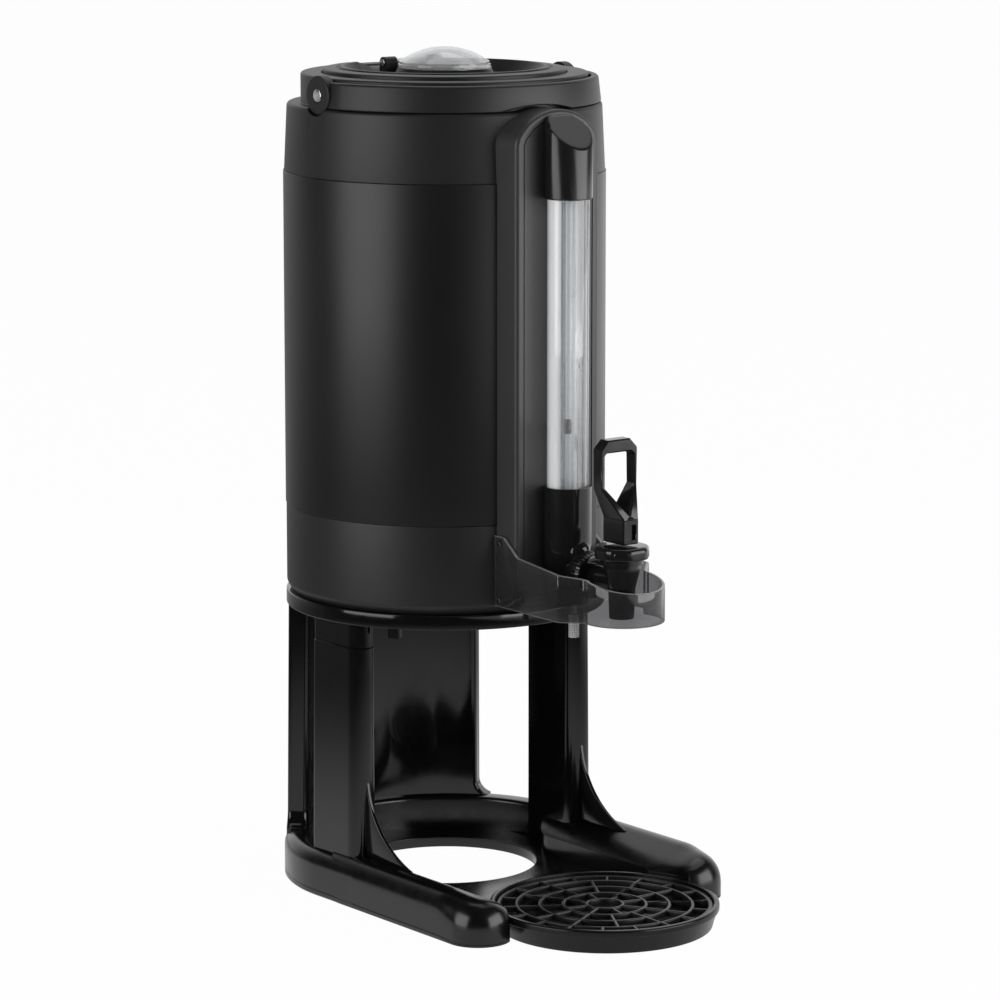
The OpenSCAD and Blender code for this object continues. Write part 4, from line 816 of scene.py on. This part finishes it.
def cover_sheets():
    """Clear cover: a wall and a low ball-shaped top of even thickness, a thumb tab and a hinge leaf."""
    wall, rise, t, low = 4.0, 10.4, 2.0, DOME_Z
    ball = bow_radius(DOME_R, rise)
    ball_z = low + wall + rise - ball
    r, r_in = np.linspace(0, DOME_R, 24), np.linspace(DOME_R - t, 0, 24)
    outer = grid(r, ball_z + bow(ball, r))
    inner = grid(r_in, ball_z + bow(ball - t, r_in))
    lip = DOME_R + 0.8
    rim = rounded([[DOME_R, low + 2.4], [lip, low + 2.2], [lip, low], [DOME_R - t, low]], [0.3, 0.5, 0.3, 0.3], 4)
    shell = lathe(np.concatenate([outer, rim, inner]), segments=160)
    tab = soft_prism(box_outline(30, 15, 5, (0, -DOME_R + 0.5), 8), low, low + t, 0.5)
    leaf = soft_prism(box_outline(29.2, 12, 1, (0, HINGE_Y - 5.5), 4), low, low + t, 0.4)
    barrel = rod(strip(1.7, 3, -14.6, 14.6, [0, 0.4, 0.4, 0], 4), 48, HINGE)
    return [shell, tab, leaf, barrel]


class DISPENSER_OT_lid(PieceOperator, bpy.types.Operator):
    """Lid with its bowl, knuckles and the clear cover over the fill hole"""

    bl_idname = "dispenser.lid"
    bl_label = "Lid"

    def build(self, size):
        lid_r, line, b, d = MOUTH_R - 0.7, LID_TOP - 0.6, BOWL_R, DOME_R
        profile = [[FILL_R, BOWL_Z - 3], [b - 7, BOWL_Z - 3], [MOUTH_R - 11, LID_SEAT], [lid_r, LID_SEAT],
                   [lid_r, LID_TOP], [b + 6, LID_TOP + 0.6], [b + 5, line], [b + 3.4, line], [b + 3, BOWL_RIM],
                   [b, BOWL_RIM], [b - 7, BOWL_Z], [d + 4.7, BOWL_Z], [d + 1.2, HUB_Z], [d - 2.8, HUB_Z],
                   [FILL_R, HUB_Z - 6]]
        radii = [0, 0, 0, 0.4, 1.3, 0.6, 0.3, 0.3, 0.9, 0.9, 2.5, 1.5, 0.8, 0.5, 0.4]
        scoop_r = bow_radius(SCOOP_HW, SCOOP_D)

        def scoop(points, a):
            x, y, z = np.moveaxis(points, -1, 0)
            floor = BOWL_RIM + scoop_r - SCOOP_D - bow(scoop_r, x)
            return grid(x, y, np.where((y > BOWL_R - 12) & (z > LID_SEAT + 1), np.minimum(z, floor), z))

        lid = lathe(rounded(profile, radii, 6), segments=256, change=scoop)
        block = strip(HINGE_Y - KNUCKLE, HINGE_Y + KNUCKLE, BOWL_Z - 2, HINGE_Z + KNUCKLE, [0, 0, 4.25, 4.25], 10)
        make_piece("lid", [lid, *both(loft([block] * 2, [15.0, 25.0], "x"))], "lid", "body_black", "lid_top")
        half = [[1.5, 25.1], [2.6, 25.1], [2.6, 25.9], [0, 25.9]]
        pin = rounded([[r, -x] for r, x in half[::-1]] + half, [0, 0.5, 0, 0, 0, 0, 0.5, 0], 4)
        make_piece("cover_pin", [rod(pin, 40, HINGE)], "lid", "bright_metal", "dome_pin")
        make_piece("cover", cover_sheets(), "dome", "clear", "dome_cover", "cover_clear")


# Level gauge


HOUSING_HW, HOUSING_Z, HOUSING_TOP = 36.5, BAND_Z + 8.5, LEDGE_Z + 2.9
GAUGE_R, CAP_Z, SOCKET_TOP = 16.9, SHELL_TOP - 9.5, BAND_TOP + 29.0


def housing_sheet(groove):
    """An arched outline carried from the body to the face: a rounded edge, a fine groove, then the flat face."""
    arc_r, r, hw, shoulder = 45.0, 3.0, HOUSING_HW, 24
    arc_z = HOUSING_TOP - arc_r
    turn = asin(hw / arc_r)
    a = np.linspace(turn, -turn, 41)
    arch = grid(arc_r * np.sin(a), arc_z + arc_r * np.cos(a))
    arch = arch[np.abs(arch[:, 0]) < hw - 9]
    side = arc_z + bow(arc_r, hw)
    corners = np.concatenate([[[-hw, HOUSING_Z], [hw, HOUSING_Z], [hw, side]], arch, [[-hw, side]]])
    outline = even(rounded(corners, [2, 2, shoulder, *np.zeros(len(arch)), shoulder], 14), 420)
    inward = inward_of(outline)
    corner = [(r - r * cos(t), r - r * sin(t)) for t in np.linspace(0, pi / 2, 8)]
    cut = r + 3.1
    rows = []
    for inset, back in [(0.0, 34.0), (0.0, 12.0), *corner, (cut - 0.1, 0.0), (cut, 0.9), (cut + groove, 0.9),
                        (cut + 0.1 + groove, 0.15), (r + 9.0, 0.15)]:
        x, z = (outline + inward * inset).T
        rows.append(grid(x, HOUSING_Y + back, z))
    return Sheet(rows)


def cap_sheet():
    """A half-round block whose top is cut by a slope that falls to the front, with soft lower edges."""
    half = acos((HOUSING_Y - GAUGE_Y) / GAUGE_R)
    a = np.linspace(-pi + half, pi - half, 72)
    front = grid(GAUGE_R * np.sin(a), GAUGE_Y - GAUGE_R * np.cos(a))
    side, back = front[-1, 0], HOUSING_Y + 1.0
    outline = np.concatenate([front, [[side, back], [-side, back]]])
    centre, slope, front_h, arch_r, soft = np.array([0, GAUGE_Y]), 25 / 28, 35, 17.5, 1.2

    def top(plan):
        sloped = CAP_Z + front_h + slope * (plan[:, 1] - (GAUGE_Y - GAUGE_R))
        arched = HOUSING_TOP - 1 - arch_r + bow(arch_r, plan[:, 0])
        return soft_min(sloped, arched, soft)

    low, high = np.full(len(outline), CAP_Z), top(outline)
    rows = [np.column_stack([outline + unit(centre - outline) * inset, z])
            for inset, z in ((0.8, low), (0.0, low + 0.8), (0.0, high - 0.8), (0.25, high - 0.25))]
    for k in np.linspace(0.95, 0.0, 12):
        plan = centre + (outline - centre) * k
        rows.append(np.column_stack([plan, top(plan)]))
    return Sheet(rows, ("first",))


class DISPENSER_OT_gauge(PieceOperator, bpy.types.Operator):
    """Gauge housing, cap, clear shield, glass and float"""

    bl_idname = "dispenser.gauge"
    bl_label = "Level gauge"

    def build(self, size):
        housing, at = housing_sheet(size.groove / MM), (0, GAUGE_Y)
        make_piece("housing", [housing], "dispenser", "body_black", "gauge_housing", "housing_black")
        make_piece("cap", [cap_sheet()], "dispenser", "body_black", "gauge_cap", "cap_black", 40)
        shield = lathe(strip(13.2, 14.7, SOCKET_TOP - 6, CAP_Z + 6, 0.2, 3), at, 128)
        shield = make_piece("shield", [shield], "dispenser", "clear", "gauge_shield", "shield_clear")
        glass = lathe(strip(3.2, 4, *span("gauge_glass", "z"), 0.2, 3), at, 64)
        glass = make_piece("glass", [glass], "dispenser", "clear", "gauge_glass")
        shield.visible_shadow = glass.visible_shadow = False
        bead = lathe(strip(0, 2.6, *span("gauge_float", "z"), [0, 0.5, 2.4, 0], 8), at, 48)
        make_piece("float_bead", [bead], "float", "float_black", "gauge_float")


# Tap


BONNET_R, BONNET_Z, BONNET_TOP = 19.3, TAP_Z + 18, TAP_Z + 27.8
LEVER = {"foot": BONNET_TOP + 0.5, "top": BONNET_TOP + 72.5, "back": TAP_Y + 13, "front": TAP_Y - 10,
         "top_front": TAP_Y + 3, "hw": 15.6, "stem": 7.0}
GUARD = {"t": 2.5, "low": BAND_Z + 6.5, "nose_r": 29.0, "nose_y": TAP_Y - 1.5, "start": [39.2, -109.9],
         "waist": [40.8, TAP_Y + 20]}
NUT_R, TEETH, TOOTH = 16.9, 36, 0.14


def spring_sheet():
    """A round wire carried along a helix: (R cos a, R sin a, c a) plus the wire's circle across the way."""
    wire, turns = 0.45, 5.0
    low, high = span("stem_spring", "z")
    r = span("stem_spring", "x")[1] - wire
    a = np.linspace(0, turns * TURN, 260)[:, None]
    climb = (high - low - 2 * wire) / (turns * TURN)
    b = np.linspace(0, TURN, 10, endpoint=False)
    lean = atan2(climb, r)
    out, up = r + wire * np.cos(b), wire * np.sin(b)
    tilt = up * sin(lean)
    x, y = out * np.cos(a) + tilt * np.sin(a), out * np.sin(a) - tilt * np.cos(a) + TAP_Y
    return Sheet(grid(x, y, low + wire + climb * a + up * cos(lean)))


def mark_painted_edge_light(piece):
    """The upper and lower edges of a wall: where the normal leans up or down, as the mask of a painted highlight
    along them.
    """
    mesh = piece.data
    normals = np.empty(3 * len(mesh.vertices))
    mesh.vertex_normals.foreach_get("vector", normals)
    start, width = 0.25, 0.3
    lean = np.clip((np.abs(normals.reshape(-1, 3)[:, 2]) - start) / width, 0, 1)
    # mask of the painted edge highlight
    mesh.attributes.new("painted_edge_light", "FLOAT", "POINT").data.foreach_set("value", lean)


def nut_sheet():
    """A ring nut whose rim waves in and out by a fraction of a millimetre: r (1 - k (1 - cos n a))."""
    profile = rounded([[8.6, 0], [NUT_R, 0], [NUT_R, 8], [15.6, 11], [8.6, 11]], [0, 0.8, 0.5, 1, 0.3])

    def teeth(points, a):
        r = np.hypot(points[..., 0], points[..., 1])
        grow = 1 - TOOTH / NUT_R * (1 - np.cos(TEETH * a)) * np.clip((r - 15) / 1.5, 0, 1)
        return points * grid(grow, grow, 1.0)

    return turned(lathe(profile, segments=360, change=teeth), "-y", (0, GAUGE_Y - 20.6, TAP_Z))


def bonnet_sheet():
    """A cap with eight soft flats: the radius is the lower of a circle and an octagon, rounded together."""
    profile = strip(0, BONNET_R, BONNET_Z, BONNET_TOP - 0.9, [0, 1.2, 3.2, 0], 9)

    def flats(points, a):
        wedge = (a + TURN / 16) % (TURN / 8) - TURN / 16
        ratio = soft_min(np.ones_like(a), 0.965 / np.cos(wedge), 0.02)
        x, y, z = np.moveaxis(points, -1, 0)
        return grid(x * ratio, (y - TAP_Y) * ratio + TAP_Y, z)

    return lathe(profile, (0, TAP_Y), 240, flats)


def lever_sheets(edge):
    """The loop is a strip between an outer and an inner outline. The stem is a block with a pocket in front."""
    foot, top, back, front, top_front, hw, stem = LEVER.values()
    waist, knee = foot + 18, foot + 38
    win, win_low, win_top = hw - 1.9, foot + 20, top - 9
    side = stem - 0.1
    outer = [[0, waist - 1], [side, waist - 1], [side, waist], [hw, knee], [hw, top - 6], [hw - 6, top], [0, top]]
    inner = 3 * [[0, win_low]] + [[win, win_low + 20], [win, win_top - 3], [win - 3, win_top], [0, win_top]]
    rim, hole = (np.array(half + [[-x, z] for x, z in half[-2:0:-1]]) for half in (outer, inner))
    across = unit(hole - rim) * edge
    ring = [(rim, edge), (rim + across, 0), (hole - across, 0), (hole, edge)]
    rows = [grid(p[:, 0], np.interp(p[:, 1], [waist, knee], [front + 0.1, top_front]) + shift, p[:, 1])
            for p, shift in ring]
    rows += [grid(p[:, 0], back - shift, p[:, 1]) for p, shift in ring[::-1]]
    mid, tall, rear = foot + (waist - foot) / 2, waist - foot, back - 0.1
    stem_rows = []
    for inset, y, pocket in ((edge, rear, 0), (0, rear - edge, 0), (0, front + edge, 0), (edge, front, 0),
                             (2.5, front, 1), (2.7, front + 0.4, 1), (2.7, front + 2.5, 1)):
        centre = (0, mid - 0.5 * pocket)
        x, z = box_outline(2 * (stem - inset), tall - 2 * inset - 2 * pocket, 1.0, centre).T
        stem_rows.append(grid(x, y, z))
    return [Sheet(np.stack(rows, 1), ()), Sheet(stem_rows)]


def guard_sheet(edge):
    """A thin wall along a bent path: straight sides, a waist, then a round nose. Its top falls to the front."""
    t, low, nose_r, nose_y, start, waist = GUARD.values()
    neck = [nose_r - 1.2, nose_y + bow(nose_r, nose_r - 1.2)]
    a = np.linspace(atan2(neck[1] - nose_y, neck[0]), -pi / 2, 40)
    arc = grid(nose_r * np.cos(a), nose_y + nose_r * np.sin(a))
    side = rounded([start, waist, neck, arc[3]], [0, 2.0, 7.0, 0], 12)
    half = np.concatenate([side, arc[4:]])
    path = even(np.concatenate([half, (half * [-1, 1])[-2::-1]]), 520, False)
    way = unit(np.gradient(path, axis=0))
    inward = grid(way[:, 1], -way[:, 0])
    heights = np.interp(-path[:, 1], [121.0, 136.5, -waist[1], -nose_y + nose_r], [50.5, 38.5, 33.5, 24.0])
    tall = 20
    across, up = strip(0, t, 0, tall, edge).T
    plan = path[:, None] + inward[:, None] * across[:, None]
    z = low + up + np.where(up > tall / 2, heights[:, None] - tall, 0)
    return Sheet(grid(plan[..., 0], plan[..., 1], z))


class DISPENSER_OT_tap(PieceOperator, bpy.types.Operator):
    """Bonnet, lever, nut, spring, guard and rivets of the tap"""

    bl_idname = "dispenser.tap"
    bl_label = "Tap"

    def build(self, size):
        make_piece("nut", [nut_sheet()], "dispenser", "tap_black", "shank_nut")
        make_piece("bonnet", [bonnet_sheet()], "dispenser", "tap_black", "tap_bonnet")
        make_piece("lever", lever_sheets(size.lever_edge / MM), "lever", "tap_black", "tap_lever", sharp=25)
        guard = guard_sheet(size.guard_edge / MM)
        mark_painted_edge_light(make_piece("guard", [guard], "dispenser", "smoke_clear", "tap_guard"))
        spring = make_piece("spring", [spring_sheet()], "dispenser", "steel", "stem_spring")
        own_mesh(spring)
        head = rounded([[0, -1], [1.5, -1], [1.5, 0], [2.6, 0], [1.9, 1.3], [0, 1.5]], [0, 0, 0, 0.3, 0.7, 0])
        places = [(39.3, HOUSING_Y + 16, BAND_Z + z) for z in (11.5, 52.0)]
        rivets = [sheet for at in places for sheet in both(rod(head, 40, at))]
        make_piece("rivets", rivets, "dispenser", "bright_metal", "guard_rivets", "rivet_dark")


class DISPENSER_OT_solids(PieceOperator, bpy.types.Operator):
    """Materials of the solids that show as they are"""

    bl_idname = "dispenser.solids"
    bl_label = "Plain solids"

    def build(self, size):
        slots = {part["node"]: part["material_slot"] for part in frame["record"]["subparts"]}
        slots.update(thumb_screw="knurled", body_pegs="tap_black")
        for node, piece in frame["nodes"].items():
            piece.data.materials.clear()
            piece.data.materials.append(FINISHES[slots[node]])


# Stage


AHEAD = radians(37.4)
BEHIND, RIGHT = (0.607, 0.794, 0.0), (0.87, -0.5, 0.0)
FLOOR_R, FLOOR_DROP, FLOOR_SIDES = 40, 0.0002, 96
AIM = Vector((0, 0, 0.32))
# Soft boxes: angle to the right of the camera's direction, distance, height, size and radiance
LAMPS = {
    "left_softbox": (-57, 2.3, 0.65, (1.7, 1.8), 3.1),
    "right_softbox": (66, 2.3, 0.6, (2.3, 1.6), 3.8),
    "top_softbox": (150, 0.6, 2.6, (2.2, 2.2), 1.0),
}
CAMERA_AT, CAMERA_DOWN, CAMERA_TURN, LENS, SENSOR = (-1.865, -2.433, 0.8303), 10.03, -37.37, 156.92, 36.0


class DISPENSER_OT_stage(bpy.types.Operator):
    """Pale floor, soft lights, white surround and the camera"""

    bl_idname = "dispenser.stage"
    bl_label = "Stage"

    def execute(self, context):
        self.floor()
        self.surround(context)
        for name, settings in LAMPS.items():
            self.lamp(name, *settings)
        context.scene.camera = self.camera()
        context.scene.view_settings.view_transform = "Standard"
        return {"FINISHED"}

    def floor(self):
        """White to the eye. Reflections find it bright near the object, behind it and far to its right."""
        s = Shader("pale_floor")
        away = s.node("ShaderNodeVectorMath", {"operation": "LENGTH"}, {0: s.where()}, "Value")
        near = s.spread(away, 1.0, 0.0, 0.2, 0.9, "SMOOTHSTEP")
        rear = s.spread(s.along(BEHIND), 0.0, 1.0, -0.5, 2.0, "SMOOTHSTEP")
        right = s.spread(s.along(RIGHT), 0.0, 1.0, 0.5, 1.3, "SMOOTHSTEP")
        pale = s.node("ShaderNodeBsdfDiffuse", {}, {"Color": s.tone(s.noise(3.0), (1, 1, 1), 0.84, 0.86)})
        lit = s.mixed(s.ray("Is Camera Ray") * 0.98, pale, s.glow(1.0))
        shine = s.glow(near * 0.7 + rear * 0.4 + right * 0.9 + 0.03)
        material = s.finish(s.mixed(s.mirror_ray(), lit, shine))
        a = np.arange(FLOOR_SIDES) * TURN / FLOOR_SIDES
        mesh = bpy.data.meshes.new("floor")
        points = grid(FLOOR_R * np.cos(a), FLOOR_R * np.sin(a), -FLOOR_DROP)
        mesh.from_pydata(points.tolist(), [], [list(range(FLOOR_SIDES))])
        mesh.materials.append(material)
        floor = add_object("floor", mesh)

    def surround(self, context):
        """White to the eye all round. Reflections find it white behind the object and dim before it."""
        world = bpy.data.worlds.new("surround")
        world.use_nodes = True
        context.scene.world = world
        s = Shader("surround", world.node_tree)
        facing = s.along(BEHIND, s.node("ShaderNodeTexCoord", output="Generated"))
        behind = s.spread(facing, 0.03, 1.0, 0.3, 0.95, "SMOOTHSTEP")
        shiny = s.mirror_ray()
        seen = s.math("MAXIMUM", s.ray("Is Camera Ray"), shiny * behind)
        strength = s.math("MAXIMUM", seen, (1 - shiny) * 0.22)
        light = s.node("ShaderNodeBackground", {}, {"Color": (1, 1, 1, 1), "Strength": strength})
        s.node("ShaderNodeOutputWorld", {}, {"Surface": light})

    def lamp(self, name, side, away, height, size, radiance):
        """A soft box at an angle to the side of the camera's direction, turned to the object."""
        a = AHEAD - radians(side)
        lamp = bpy.data.lights.new(name, "AREA")
        lamp.shape, lamp.size, lamp.size_y = "RECTANGLE", *size
        lamp.energy = radiance * pi * size[0] * size[1]
        box = add_object(name, lamp)
        box.location = Vector((-sin(a) * away, -cos(a) * away, height))
        box.rotation_euler = (AIM - box.location).to_track_quat("-Z", "Y").to_euler()
        box.visible_camera = False

    def camera(self):
        eye = bpy.data.cameras.new("camera")
        eye.lens, eye.sensor_width = LENS, SENSOR
        eye.clip_start, eye.clip_end = 0.05, 100.0
        camera = add_object("camera", eye)
        camera.location = CAMERA_AT
        camera.rotation_euler = (radians(90 - CAMERA_DOWN), 0.0, radians(CAMERA_TURN))
        return camera


class DISPENSER_PT_panel(bpy.types.Panel):
    """Sidebar list of the settings and the makers"""

    bl_idname = "DISPENSER_PT_panel"
    bl_label = "Coffee dispenser"
    bl_space_type = "VIEW_3D"
    bl_region_type = "UI"
    bl_category = "Dispenser"

    def draw(self, context):
        for group in (context.scene.dispenser_sizes, context.scene.dispenser_finishes):
            box = self.layout.box()
            for name in group.__annotations__:
                box.prop(group, name)
        for maker in MAKERS:
            self.layout.operator(maker.bl_idname)


MAKERS = (
    DISPENSER_OT_solids, DISPENSER_OT_stand, DISPENSER_OT_tray, DISPENSER_OT_body, DISPENSER_OT_handle,
    DISPENSER_OT_lid, DISPENSER_OT_gauge, DISPENSER_OT_tap, DISPENSER_OT_stage,
)
CLASSES = (DispenserSizes, DispenserFinishes, *MAKERS, DISPENSER_PT_panel)


def register():
    for cls in CLASSES:
        bpy.utils.register_class(cls)
    bpy.types.Scene.dispenser_sizes = bpy.props.PointerProperty(type=DispenserSizes)
    bpy.types.Scene.dispenser_finishes = bpy.props.PointerProperty(type=DispenserFinishes)


def unregister():
    del bpy.types.Scene.dispenser_finishes
    del bpy.types.Scene.dispenser_sizes
    for cls in reversed(CLASSES):
        bpy.utils.unregister_class(cls)


def main():
    register()
    for maker in MAKERS:
        group, name = maker.bl_idname.split(".")
        getattr(getattr(bpy.ops, group), name)()


if __name__ == "__main__":
    main()
